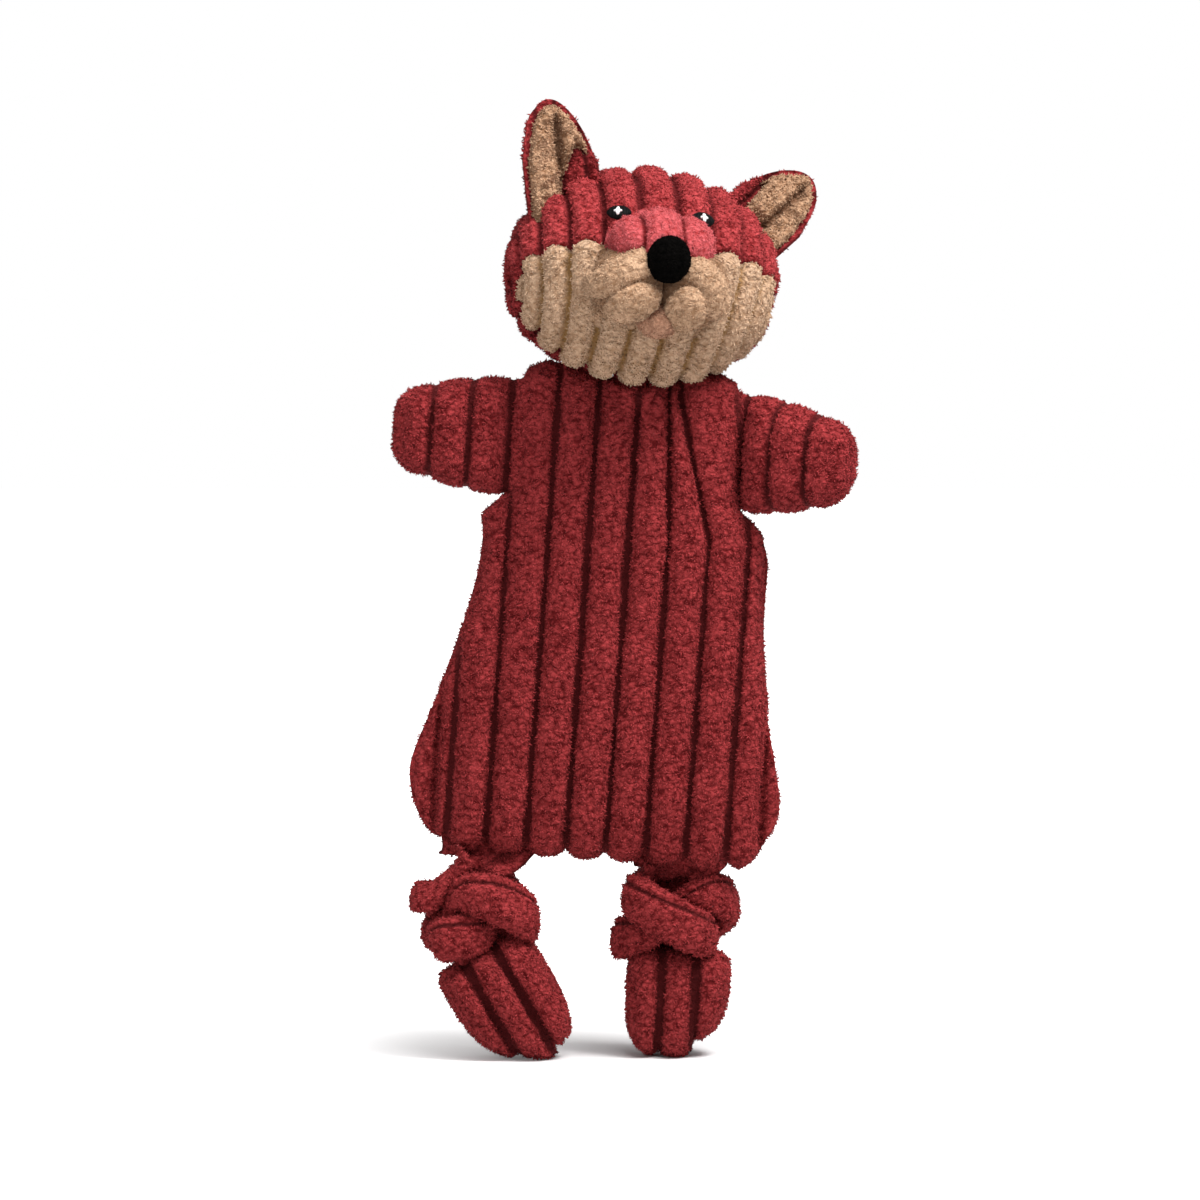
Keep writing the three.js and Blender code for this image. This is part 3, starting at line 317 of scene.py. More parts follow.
class Cloth:
    """Vertices, faces and pile attributes of a piece while it is put together."""

    def __init__(self):
        self.points, self.faces, self.groove, self.cover, self.lay = [], [], [], [], []
        self.count = 0

    def add(self, points, groove, cover, lay):
        start = self.count
        flat = points.reshape(-1, 3)
        self.points.append(flat)
        for store, value in ((self.groove, groove), (self.cover, cover)):
            store.append(np.broadcast_to(value, points.shape[:-1]).reshape(-1).astype(float))
        self.lay.append(np.broadcast_to(lay, points.shape).reshape(-1, 3).astype(float))
        self.count += len(flat)
        return start + np.arange(len(flat)).reshape(points.shape[:-1])

    def quads(self, index, flip=False, kept=None):
        a, b, c, d = index[:-1, :-1], index[1:, :-1], index[1:, 1:], index[:-1, 1:]
        quad = np.stack([a, d, c, b] if flip else [a, b, c, d], axis=-1)
        self.faces.append(quad.reshape(-1, 4) if kept is None else quad[kept])

    def wall(self, outer, inner):
        """Closes the gap between an open sheet and its lining, which has the same layout of vertices."""
        sheet = self.faces[0]
        edges = np.stack([sheet, np.roll(sheet, -1, axis=1)], axis=-1).reshape(-1, 2)
        edges = edges[edges[:, 0] != edges[:, 1]]
        size = self.count
        ahead, back = edges[:, 0] * size + edges[:, 1], edges[:, 1] * size + edges[:, 0]
        rim = edges[~np.isin(ahead, back)]
        under = np.zeros(size, int)
        under[outer] = inner
        self.faces.append(np.stack([rim[:, 1], rim[:, 0], under[rim[:, 0]], under[rim[:, 1]]], axis=-1))

    def object(self, name):
        """Makes the mesh; a face with one repeated vertex becomes a triangle, one with more is left out."""
        points = np.concatenate(self.points)
        faces = np.concatenate(self.faces)
        pinched = (faces == np.roll(faces, -1, axis=1)).any(axis=1)
        whole = faces[~pinched]
        narrow = (list(dict.fromkeys(face)) for face in faces[pinched].tolist())
        three = np.array([face for face in narrow if len(face) == 3], int).reshape(-1, 3)
        used, corners = np.unique(np.concatenate([whole.reshape(-1), three.reshape(-1)]), return_inverse=True)
        starts = np.concatenate([np.arange(len(whole)) * 4, len(whole) * 4 + np.arange(len(three)) * 3])
        mesh = bpy.data.meshes.new(name)
        mesh.vertices.add(len(used))
        mesh.vertices.foreach_set("co", (points[used] * MM).astype(np.float32).reshape(-1))
        mesh.loops.add(len(corners))
        mesh.loops.foreach_set("vertex_index", corners.astype(np.int32))
        mesh.polygons.add(len(starts))
        mesh.polygons.foreach_set("loop_start", starts.astype(np.int32))
        mesh.update(calc_edges=True)
        mesh.validate()
        values = {
            "groove": np.concatenate(self.groove)[used],
            "cover": np.concatenate(self.cover)[used],
            # The bare cloth gets a lower shade than the tufts and no tip: painted shade at the roots of the
            # pile
            "shade": 0.25 + 0.2 * noise(points[used], 1.1, 91),
            "tip": np.zeros(len(used)),
        }
        for title, value in values.items():
            mesh.attributes.new(title, "FLOAT", "POINT").data.foreach_set("value", value.astype(np.float32))
        lay = mesh.attributes.new("lay", "FLOAT_VECTOR", "POINT")
        lay.data.foreach_set("vector", np.concatenate(self.lay)[used].astype(np.float32).reshape(-1))
        obj = bpy.data.objects.new(name, mesh)
        bpy.context.scene.collection.objects.link(obj)
        return obj


def coarse(index, step, where):
    """Merges the hidden vertices of a sheet in blocks, so that it has fewer faces and stays closed."""
    columns, rows = index.shape
    across = np.clip((np.arange(columns) + step // 2) // step * step, 1, columns - 2)
    down = np.clip((np.arange(rows) + step // 2) // step * step, 1, rows - 2)
    merged = index[np.ix_(across, down)]
    return np.where(where & where[np.ix_(across, down)], merged, index)


def smooth(obj):
    obj.data.polygons.foreach_set("use_smooth", np.ones(len(obj.data.polygons), bool))
    obj.data.update()


def feed(tree, node, inputs):
    """Gives each input of a node its value, or links the socket that feeds it."""
    for key, value in inputs.items():
        if isinstance(value, bpy.types.NodeSocket):
            tree.links.new(value, node.inputs[key])
        else:
            node.inputs[key].default_value = value
    return node


def added(tree, kind, inputs=None, **settings):
    """Adds a node with its settings and inputs."""
    node = tree.nodes.new(kind)
    for name, value in settings.items():
        setattr(node, name, value)
    return feed(tree, node, inputs or {})


# Pile

PILE_INPUTS = (
    ("Cloth", "Geometry", None), ("Tufts per square metre", "Float", 700000.0),
    ("Tuft length", "Float", 0.0022), ("Spread", "Float", 0.9), ("Seed", "Int", 1),
    ("Tuft", "Object", None), ("Plush", "Material", None),
)


def pile_tree():
    """Curly tufts scattered over a cloth: each leans along the lay of the pile and curls its own way."""
    if "Curly pile" in bpy.data.node_groups:
        return bpy.data.node_groups["Curly pile"]
    tree = bpy.data.node_groups.new("Curly pile", "GeometryNodeTree")
    for name, kind, default in PILE_INPUTS:
        item = tree.interface.new_socket(name, in_out="INPUT", socket_type="NodeSocket" + kind)
        if default is not None:
            item.default_value = default
        if kind == "Float":
            item.min_value = 0.0
    tree.interface.new_socket("Cloth", in_out="OUTPUT", socket_type="NodeSocketGeometry")

    def put(kind, inputs=None, **settings):
        return added(tree, kind, inputs, **settings)

    start, end = put("NodeGroupInput"), put("NodeGroupOutput")
    given = start.outputs
    cover = put("GeometryNodeInputNamedAttribute", {"Name": "cover"}, data_type="FLOAT")
    lay = put("GeometryNodeInputNamedAttribute", {"Name": "lay"}, data_type="FLOAT_VECTOR")
    density = put(
        "ShaderNodeMath", {0: given["Tufts per square metre"], 1: cover.outputs["Attribute"]},
        operation="MULTIPLY")
    scatter = put(
        "GeometryNodeDistributePointsOnFaces",
        {"Mesh": given["Cloth"], "Density": density.outputs[0], "Seed": given["Seed"]})
    wander = put(
        "FunctionNodeRandomValue", {0: (-1, -1, -1), 1: (1, 1, 1), "Seed": given["Seed"]},
        data_type="FLOAT_VECTOR")
    spread = put(
        "ShaderNodeVectorMath", {0: wander.outputs["Value"], "Scale": given["Spread"]}, operation="SCALE")
    lean = put("ShaderNodeVectorMath", {0: scatter.outputs["Normal"], 1: lay.outputs["Attribute"]})
    way = put("ShaderNodeVectorMath", {0: lean.outputs[0], 1: spread.outputs[0]})
    align = put("FunctionNodeAlignRotationToVector", {"Vector": way.outputs[0]}, axis="Z")
    spin = put("FunctionNodeRandomValue", {2: 0.0, 3: 2 * math.pi}, data_type="FLOAT")
    twist = put("FunctionNodeAxisAngleToRotation", {"Axis": (0, 0, 1), "Angle": spin.outputs[1]})
    rotate = put(
        "FunctionNodeRotateRotation", {"Rotation": align.outputs[0], "Rotate By": twist.outputs[0]},
        rotation_space="LOCAL")
    vary = put("FunctionNodeRandomValue", {2: 0.65, 3: 1.3, "Seed": 7}, data_type="FLOAT")
    size = put("ShaderNodeMath", {0: vary.outputs[1], 1: given["Tuft length"]}, operation="MULTIPLY")
    tint = put("FunctionNodeRandomValue", {"Seed": 11}, data_type="FLOAT")
    shade = put(
        "GeometryNodeStoreNamedAttribute",
        {"Name": "shade", "Geometry": scatter.outputs["Points"], "Value": tint.outputs[1]},
        data_type="FLOAT", domain="POINT")
    tuft = put("GeometryNodeObjectInfo", {"Object": given["Tuft"]})
    instance = put("GeometryNodeInstanceOnPoints", {
        "Points": shade.outputs["Geometry"], "Instance": tuft.outputs["Geometry"],
        "Rotation": rotate.outputs[0], "Scale": size.outputs[0],
    })
    both = put("GeometryNodeJoinGeometry", {0: given["Cloth"]})
    tree.links.new(instance.outputs[0], both.inputs[0])
    real = put("GeometryNodeRealizeInstances", {0: both.outputs[0]})
    finish = put("GeometryNodeSetMaterial", {"Geometry": real.outputs[0], "Material": given["Plush"]})
    tree.links.new(finish.outputs[0], end.inputs[0])
    return tree


def tuft_object():
    """One tuft of pile, a unit long: a tapered three-sided curl."""
    if "tuft" in bpy.data.objects:
        return bpy.data.objects["tuft"]
    # Each point's tip value is its height up the tuft; the plush colours lighten with it: painted shade near
    # the root, painted light at the tip
    rows = [(0.0, -0.1, 0.2), (0.22, 0.55, 0.19)]
    points, faces, tips = [], [], []
    for x, z, radius in rows:
        for k in range(3):
            angle = 2 * math.pi * k / 3
            points.append((x + radius * math.cos(angle), radius * math.sin(angle), z))
            tips.append(z)
    points.append((0.72, 0.12, 0.72))
    tips.append(1.0)
    for k in range(3):
        faces.append((k, (k + 1) % 3, 3 + (k + 1) % 3, 3 + k))
        faces.append((3 + k, 3 + (k + 1) % 3, 6))
    mesh = bpy.data.meshes.new("tuft")
    mesh.from_pydata(points, [], faces)
    mesh.attributes.new("tip", "FLOAT", "POINT").data.foreach_set("value", tips)
    obj = bpy.data.objects.new("tuft", mesh)
    bpy.context.scene.collection.objects.link(obj)
    obj.hide_render = True
    return obj


def identifier(tree, name):
    for item in tree.interface.items_tree:
        if item.item_type == "SOCKET" and item.in_out == "INPUT" and item.name == name:
            return item.identifier
    raise KeyError(name)


def piled(obj, cloth, seed, density=1.0, length=1.0, spread=1.0):
    """Grows the pile on a cloth and turns the result into one plain mesh."""
    settings = bpy.context.scene.fox_pile
    tree = pile_tree()
    modifier = obj.modifiers.new("Curly pile", "NODES")
    modifier.node_group = tree
    values = {
        "Tufts per square metre": settings.density * 1e6 * density * 1.0,
        "Tuft length": settings.length * length,
        "Spread": settings.spread * spread,
        "Seed": seed,
        "Tuft": tuft_object(),
        "Plush": cloth,
    }
    for name, value in values.items():
        modifier[identifier(tree, name)] = value
    baked(obj)
    for title in ("cover", "lay"):
        attribute_used = obj.data.attributes.get(title)
        if attribute_used:
            obj.data.attributes.remove(attribute_used)
    return obj


def baked(obj):
    mesh = bpy.data.meshes.new_from_object(obj.evaluated_get(bpy.context.evaluated_depsgraph_get()))
    old = obj.data
    obj.modifiers.clear()
    obj.data = mesh
    bpy.data.meshes.remove(old)
    mesh.name = obj.name
    smooth(obj)


def finished(obj, body, nodes, slot, fill=None, sewn_to=None, start=None, end=None):
    """Hides the CAD nodes that a piece stands for and hangs it on its body's empty, or bakes its place into
    its mesh when it is sewn to another. Start and end are not used.
    """
    if sewn_to:
        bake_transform(obj)
    else:
        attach(obj, body)
    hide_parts(*nodes)


# Materials

# Scales of the patterns of the pile, each in features on a metre, and how far the curls bend them, in metres
WAVE_SCALE, CURL_SCALE, CLUMP_SCALE, STRAND_SCALE = 110, 420.0, 560.0, 1700
CURL_REACH = 0.0026


def srgb(red, green, blue):
    """Linear colour of a screen colour given from 0 to 255."""
    def linear(value):
        value /= 255
        return value / 12.92 if value <= 0.04045 else ((value + 0.055) / 1.055) ** 2.4
    return (linear(red), linear(green), linear(blue), 1.0)


def material(name):
    """The material of a name, and its tree and shader while it is new."""
    found = bpy.data.materials.get(name)
    if found:
        return found, None, None
    made = bpy.data.materials.new(name)
    made.use_nodes = True
    tree = made.node_tree
    tree.nodes.clear()
    shader = tree.nodes.new("ShaderNodeBsdfPrincipled")
    added(tree, "ShaderNodeOutputMaterial", {0: shader.outputs[0]})
    return made, tree, shader


def mixed(tree, factor, first, second):
    return added(tree, "ShaderNodeMix", {0: factor, 6: first, 7: second}, data_type="RGBA").outputs[2]


def maths(tree, operation, *values, clamp=False):
    inputs = dict(enumerate(values))
    return added(tree, "ShaderNodeMath", inputs, operation=operation, use_clamp=clamp).outputs[0]


def attribute(tree, name):
    return added(tree, "ShaderNodeAttribute", attribute_name=name).outputs["Fac"]


def coordinates(tree):
    return added(tree, "ShaderNodeTexCoord").outputs["Object"]


def speckle(tree, scale, detail=3.0, roughness=0.6):
    return added(tree, "ShaderNodeTexNoise", {
        "Scale": scale, "Detail": detail, "Roughness": roughness, "Vector": coordinates(tree),
    }).outputs["Fac"]


def bumped(tree, shader, height, strength, distance):
    bump = added(tree, "ShaderNodeBump", {"Strength": strength, "Distance": distance, "Height": height})
    tree.links.new(bump.outputs[0], shader.inputs["Normal"])


def curls(tree):
    """Small clumps of curled pile, from 0 in a crease between them to 1 on a clump; the pile's colour darkens
    the creases with it as painted shade.
    """
    where = coordinates(tree)
    warp = added(tree, "ShaderNodeTexNoise", {"Scale": CURL_SCALE, "Detail": 1.0, "Vector": where})
    bent = added(
        tree, "ShaderNodeVectorMath", {0: warp.outputs["Color"], 1: (CURL_REACH,) * 3, 2: where},
        operation="MULTIPLY_ADD")
    squeezed = added(
        tree, "ShaderNodeVectorMath", {0: bent.outputs[0], 1: (0.8, 1.0, 1.25)}, operation="MULTIPLY")
    cells = added(
        tree, "ShaderNodeTexVoronoi", {"Scale": CLUMP_SCALE, "Vector": squeezed.outputs[0]}, feature="F1")
    return maths(tree, "SUBTRACT", 1.0, maths(tree, "POWER", cells.outputs["Distance"], 1.3), clamp=True)


def plush_material(name, dark, light, weave, sheen=0.2, curl=1.0, shine=0.15):
    """Curly pile: painted shade deep in it and between its clumps, painted light at the tips, with the bare
    weave in the grooves.
    """
    made, tree, shader = material(name)
    if shader is None:
        return made
    clumps = curls(tree)
    fine = speckle(tree, STRAND_SCALE, 2.0)
    broad = speckle(tree, WAVE_SCALE, 2.0)
    # Tip lightens each tuft towards its end and the cloth's lower shade darkens the roots: painted shade deep
    # in the pile, painted light on the tips; each tuft's own shade also varies its tone at random
    tip = maths(tree, "MULTIPLY", attribute(tree, "tip"), 0.32)
    own = maths(tree, "MULTIPLY", attribute(tree, "shade"), 0.22)
    # Light on the clumps, dark in the creases between them: painted shade between the clumps
    crease_shade = maths(tree, "MULTIPLY_ADD", clumps, 0.62 * curl, 0.12 - 0.32 * curl)
    grain = maths(tree, "MULTIPLY_ADD", fine, 0.5 * curl, -0.25 * curl)
    waves = maths(tree, "MULTIPLY_ADD", broad, 0.3, -0.15)
    total = maths(tree, "ADD", maths(tree, "ADD", tip, own), maths(tree, "ADD", grain, waves))
    total = maths(tree, "ADD", total, crease_shade, clamp=True)
    pile = mixed(tree, total, dark, light)
    feed(tree, shader, {
        "Base Color": mixed(tree, attribute(tree, "groove"), pile, weave), "Roughness": 0.92,
        "Specular IOR Level": shine, "Sheen Weight": sheen, "Sheen Roughness": 0.5, "Sheen Tint": light,
    })
    bumped(tree, shader, maths(tree, "MULTIPLY_ADD", fine, 0.35, clumps), 0.85 * curl, 0.0009)
    return made


def shaded(colour, shares):
    return tuple(value * share for value, share in zip(colour, shares)) + (1.0,)


# Colour of each plush, the shares of it deep in the pile (painted shade) and at the tips (painted light), in
# the bare weave, and its finish
PLUSHES = {
    "red plush": ("red", (0.14, 0.03, 0.04), (1, 1, 1), (0.085, 0.035, 0.04), {}),
    # A lighter, pinker copy of the red plush for the crown: painted top light
    "crown plush": ("red", (0.22, 0.08, 0.09), (1.2, 1.4, 1.4), (0.12, 0.05, 0.06), {}),
    # The bridge's shorter pile, much lighter and pinker than the red plush: painted top light and sheen on
    # its upward face
    "red velour": ("red", (0.42, 0.28, 0.28), (1.5, 2.9, 3.0), (0.16, 0.05, 0.06), dict(curl=0.65)),
    "tan plush": (
        "tan", (0.33, 0.26, 0.2), (0.92, 0.88, 0.84), (0.3, 0.22, 0.11), dict(sheen=0.3, curl=0.85)),
    "tan velour": ("tan", (0.27, 0.2, 0.145), (0.96, 0.88, 0.8), (0.16, 0.1, 0.06), dict(curl=0.75)),
    "chin velour": ("tan", (0.25, 0.16, 0.13), (0.94, 0.74, 0.66), (0.1, 0.06, 0.05), dict(curl=0.75)),
    "ear plush": ("tan", (0.2, 0.13, 0.085), (0.84, 0.73, 0.64), (0.11, 0.06, 0.04), dict(curl=0.85)),
    "black felt": ("felt", (0.1, 0.1, 0.1), (1, 1, 1), (0.2, 0.2, 0.2), dict(sheen=0.0, shine=0.02)),
}


def plush(name):
    tone, dark, light, weave, finish = PLUSHES[name]
    colour = getattr(bpy.context.scene.fox_colours, tone)
    return plush_material(name, shaded(colour, dark), shaded(colour, light), shaded(colour, weave), **finish)


def thread_material(name, dark, light, scale, shine=0.3):
    """Satin stitches, seen as fine bands."""
    made, tree, shader = material(name)
    if shader is None:
        return made
    bands = added(tree, "ShaderNodeTexWave", {
        "Scale": scale, "Distortion": 1.2, "Detail": 2.0, "Vector": coordinates(tree),
    }, bands_direction="X").outputs["Fac"]
    feed(tree, shader, {
        "Base Color": mixed(tree, bands, dark, light), "Roughness": 0.55, "Specular IOR Level": shine,
    })
    bumped(tree, shader, bands, 0.5, 0.0003)
    return made


def plain_material(name, dark, light, scale, rough):
    made, tree, shader = material(name)
    if shader is None:
        return made
    grain = speckle(tree, scale)
    feed(tree, shader, {"Base Color": mixed(tree, grain, dark, light), "Roughness": rough, "Metallic": 0.0})
    bumped(tree, shader, grain, 0.25, 0.0004)
    return made


# Torso


def torso_half_width(share, widest):
    return np.minimum(along(TORSO.widths, share) * TORSO.back_half, widest)


def torso_skew(share, amount):
    return along(TORSO.skews, share) * TORSO.back_half * amount


def torso_phase(x, rise):
    """Number of ribs from the torso's left to each point; the ribs are pinched at the right of the collar."""
    fold = np.clip((rise - TORSO.fold_start) / TORSO.fold_height, 0, 1)
    base = TORSO.rib_offset + SKIN.pitch * np.arange(-6, 7)
    shift = np.zeros((len(base),) + np.shape(rise))
    for number, slide in TORSO.pinch:
        shift[number] = slide * fold
    grooves = base.reshape((-1,) + (1,) * np.ndim(rise)) + shift
    phase = np.zeros_like(x)
    for k, (left, right) in enumerate(zip(grooves[:-1], grooves[1:])):
        inside = (x >= left) & (x < right)
        phase = np.where(inside, k + (x - left) / np.maximum(right - left, 1e-3), phase)
    return phase


def torso_panel(name, facing, widest, seed):
    """One panel of the torso, a ribbed sheet with a flat lining; facing is -1 in front and 1 at the back."""
    columns, rows = TORSO.grid
    xi, share = grid(np.linspace(-1, 1, columns), np.linspace(0, 1, rows))
    half = torso_half_width(share, widest)
    x = xi * half + torso_skew(share, TORSO.skew_front if facing < 0 else 1.0)
    low = -TORSO.hem - TORSO.rib_end * rib_shape((x - TORSO.rib_offset) / SKIN.pitch, SCALLOP)
    out = np.abs(x)
    dip = TORSO.dip * (1 - np.minimum(1, out / TORSO.collar) ** 2)
    high = TORSO.height - dip - TORSO.slope * np.maximum(0, out - TORSO.collar)
    high = high + TORSO.collar_rise * np.clip((TORSO.collar - out) / TORSO.collar_ease, 0, 1)
    z = low + (high - low) * share
    phase = torso_phase(x, z)
    fade = dome(xi, 1)
    crown, edge = TORSO.thickness / 2 - SKIN.height, TORSO.edge / 2
    plain = edge + (crown - edge) * (along(TORSO.rises, share) * fade)
    end_gap = np.minimum(z - low, high - z)
    rim = rounded(half * (1 - np.abs(xi)), TORSO.side_roll) * rounded(end_gap, TORSO.end_roll)
    bump = SKIN.relief * cord(phase, SKIN.pitch) - SKIN.relief + SKIN.height + SKIN.pile
    bump = bump * (0.5 + 0.5 * fade)
    # The collar swells over the round lower end of the neck
    neck = np.hypot((x - NECK.side) / NECK.reach, (z - NECK.rise) / NECK.reach)
    swell = NECK.reach * np.sqrt(np.clip(1 - neck ** 2, 0, 1)) * rounded(end_gap, NECK.roll)
    depth = facing * (SEAM_GAP + np.maximum((plain + bump) * rim, swell + 0.6 * bump * (swell > 0)))
    front = np.stack([x, depth, z], axis=-1)
    normals = faced(surface_normals(front) * -facing, facing)
    border = border_of(x)
    front = np.where(border[..., None], front, ruffled(front, normals, 1.0, seed))
    groove = groove_share(phase, SKIN.pitch) * rim
    seam = np.full_like(x, facing * SEAM_GAP)
    strip = np.zeros_like(x)
    if facing > 0:
        # The bare edge of the back panel, beside the narrower front panel, swells forward
        covered = torso_half_width(share, TORSO.front_half) + TORSO.strip_start
        beside = np.abs(x - torso_skew(share, TORSO.skew_front))
        strip = np.clip((beside - covered) / np.maximum(half - covered, 0.5), 0, 1) * (half > covered + 1)
        strip = np.sqrt(np.clip(4 * strip * (1 - strip), 0, 1)) * rounded(end_gap, TORSO.strip_roll)
        seam = seam - TORSO.strip_rise * strip
    inner = np.where(border[..., None], front, np.stack([x, seam, z], axis=-1))
    lay = np.stack([
        0.55 * noise(front, 9, seed + 5), np.zeros_like(x), -0.35 + 0.5 * noise(front, 9, seed + 6)], axis=-1)
    lay = lay @ TORSO_FRAME[:3, :3].T
    cloth = Cloth()
    outer_index = cloth.add(moved(front, TORSO_FRAME), groove, 1 - groove, lay)
    inner_index = cloth.add(moved(inner, TORSO_FRAME), 0.0, np.clip(strip * 3, 0, 1), lay)
    inner_index = np.where(border, outer_index, coarse(inner_index, 6, np.abs(xi) < 0.7))
    cloth.quads(outer_index, flip=facing > 0)
    cloth.quads(inner_index, flip=facing < 0)
    return cloth.object(name)


# Pouches: arms and feet


def pouch(
        name, x, z, half_depth, phase, pitch, matrix, seed, side_gap, end_gap, edge_roll,
        bare=2.0, floor=None):
    """A stuffed pouch of two ribbed sheets that roll into one another at its rim."""
    rim = (rounded(side_gap, edge_roll) * rounded(end_gap, edge_roll)) ** 0.65
    brim = np.clip(1.6 - side_gap / 3, 0, 1)
    groove = groove_share(phase, pitch, bare) * (1 - brim)
    round_rib = cord(phase, pitch, bare) * (1 - brim) + brim
    border = border_of(x)
    cloth = Cloth()
    index = {}
    for facing in (-1, 1):
        thickness = half_depth + POUCH.relief * round_rib - POUCH.relief + POUCH.ribs + POUCH.pile
        sheet = np.stack([x, facing * thickness * rim, z], axis=-1)
        normals = faced(surface_normals(sheet), facing)
        uneven = ruffled(sheet, normals, POUCH.unevenness, seed + facing)
        sheet = np.where(border[..., None], sheet, uneven)
        sideways, upwards = 0.5 * noise(sheet, 8, seed + 5), 0.5 * noise(sheet, 8, seed + 6) - 0.4
        lay = np.stack([sideways, np.zeros_like(x), upwards], axis=-1)
        sheet = moved(sheet, matrix)
        if floor is not None:
            sheet[..., 2] = np.maximum(sheet[..., 2], floor)
        index[facing] = cloth.add(sheet, groove, 1 - groove, lay @ matrix[:3, :3].T)
    cloth.quads(index[-1])
    cloth.quads(np.where(border, index[-1], index[1]), flip=True)
    return cloth.object(name)


def pouch_depth(sizes, fullness):
    """Half of a pouch's depth without its ribs."""
    return sizes.edge / 2 + (sizes.thickness / 2 - POUCH.skin - sizes.edge / 2) * fullness


def arm_object(name, outwards):
    length = ARM.length
    matrix = TORSO_FRAME @ place(outwards * (ARM.shoulder + ARM.inset), 0, ARM.lift)
    matrix = matrix @ turned("Z", ARM.swing[name] * outwards) @ place(-outwards * ARM.inset, 0, 0)
    columns, rows = ARM.grid
    reach, height = grid(np.linspace(ARM.start, length, columns), np.linspace(-1, 1, rows))
    inside = np.clip(reach / length, 0, 1)
    half = ARM.root / 2 * along(ARM.tips, inside)
    half_depth = pouch_depth(ARM, along(ARM.rises, np.clip(inside + 0.1, 0, 1)) * dome(height, 1))
    phase = reach / ARM.pitch
    half = half * (1 - ARM.waist * (1 - rib_shape(phase, 0.6)))
    layout = [outwards * reach, height * half, half_depth, phase, length - reach, half * (1 - np.abs(height))]
    if outwards < 0:
        layout = [values[::-1] for values in layout]
    x, z, half_depth, phase, side_gap, end_gap = layout
    side_gap = np.where(np.abs(x) > 1, side_gap, 99.0)
    return pouch(
        f"arm_{name}", x, z, half_depth, phase, ARM.pitch, matrix, 40 + outwards, side_gap, end_gap,
        ARM.roll)


def leg_matrix(name):
    side, depth, height = KNOT.places[name]
    return place(side + SHIFT[0], depth + SHIFT[1], height)


def foot_object(name):
    tilt = math.radians(FOOT.tilts[name])
    ankle = KNOT.places[name][2] - KNOT.ankle_drop - KNOT.ankle_gap
    matrix = leg_matrix(name) @ place(0, 0, -KNOT.ankle_drop - KNOT.ankle_gap)
    matrix = matrix @ turned("Y", FOOT.tilts[name])
    across, down = FOOT.grid
    columns, rows = grid(np.linspace(-1, 1, across), np.linspace(0, 1, down))
    width = FOOT.half_width * along(FOOT.widths, 1 - rows)
    x = columns * width
    start = FOOT.pitch / 2
    phase = (x - start) / FOOT.pitch
    level = (x * math.sin(tilt) - ankle + FOOT.end - 0.2) / math.cos(tilt)
    corner = FOOT.corner * np.clip((x - start) / (FOOT.half_width - start) + FOOT.corner_share, 0, 1)
    low = level + np.where(x > start, corner, 0) - FOOT.end * rib_shape(phase, SCALLOP)
    high = FOOT.top
    z = low + (high - low) * rows
    half_depth = pouch_depth(FOOT, along(FOOT.rises, 1 - rows) * dome(x, width))
    return pouch(
        f"foot_{name}", x, z, half_depth, phase, FOOT.pitch, matrix, 60 + len(name),
        width * (1 - np.abs(columns)), np.minimum(z - low, high - z), FOOT.roll, bare=FOOT.bare,
        floor=FOOT.floor)


# Knotted straps


def knot_line(name):
    """Middle line of a leg strap: a true overhand knot with its two ends drawn out straight."""
    side, _, height = KNOT.places[name]
    lean = math.radians(TORSO.lean)
    lowest = -(TORSO.hem + TORSO.rib_end)
    beside = (side + KNOT.half_width - TORSO.side_shift) * math.sin(lean)
    hem = TORSO.hem_height + (lowest - beside) / math.cos(lean)
    top = hem - 0.3 - height
    round_way = turned("Z", KNOT.turn[name])
    stretch = np.array([KNOT.wide, KNOT.deep, 1.0])

    def set_in(points):
        return (moved(np.array(points, float), round_way) * stretch + (KNOT.shift[name], 0, 0)).tolist()

    def lead(sign, rise):
        way = [
            (sign * s * KNOT.radius, d * KNOT.radius, sign * h * KNOT.rise)
            for s, d, h in KNOT.leads
        ]
        return set_in(way) + [[0, 0, rise]]

    angle = np.linspace(-KNOT.turns, KNOT.turns, 49) * math.pi
    radius = KNOT.radius - KNOT.spread * np.cos(1.5 * angle)
    knot = np.stack([
        radius * np.sin(angle), radius * np.cos(angle), -KNOT.rise * np.sin(1.5 * angle)], axis=-1)
    return np.array(lead(1, top)[::-1] + set_in(knot) + lead(-1, -KNOT.ankle_drop))


def lengths_along(points):
    """Length of a line from its start to each of its points."""
    return np.concatenate([[0], np.cumsum(np.linalg.norm(np.diff(points, axis=0), axis=1))])


def spline(points, count):
    """Points evenly spaced on a smooth curve through the given ones."""
    ghost = np.vstack([2 * points[0] - points[1], points, 2 * points[-1] - points[-2]])
    dense = []
    for i in range(1, len(ghost) - 2):
        p = ghost[i - 1:i + 3]
        steps = np.maximum(np.linalg.norm(np.diff(p, axis=0), axis=1), 1e-4) ** 0.5
        t = np.concatenate([[0], np.cumsum(steps)])
        u = np.linspace(t[1], t[2], 12, endpoint=False)[:, None]

        def between(first, last, start, end):
            return (t[last] - u) / (t[last] - t[first]) * start + (u - t[first]) / (t[last] - t[first]) * end

        a1, a2, a3 = (between(k, k + 1, p[k], p[k + 1]) for k in range(3))
        dense.append(between(1, 2, between(0, 2, a1, a2), between(1, 3, a2, a3)))
    dense = np.vstack(dense + [points[-1:]])
    lengths = lengths_along(dense)
    where = np.linspace(0, lengths[-1], count)
    return np.stack([np.interp(where, lengths, dense[:, k]) for k in range(3)], axis=-1)


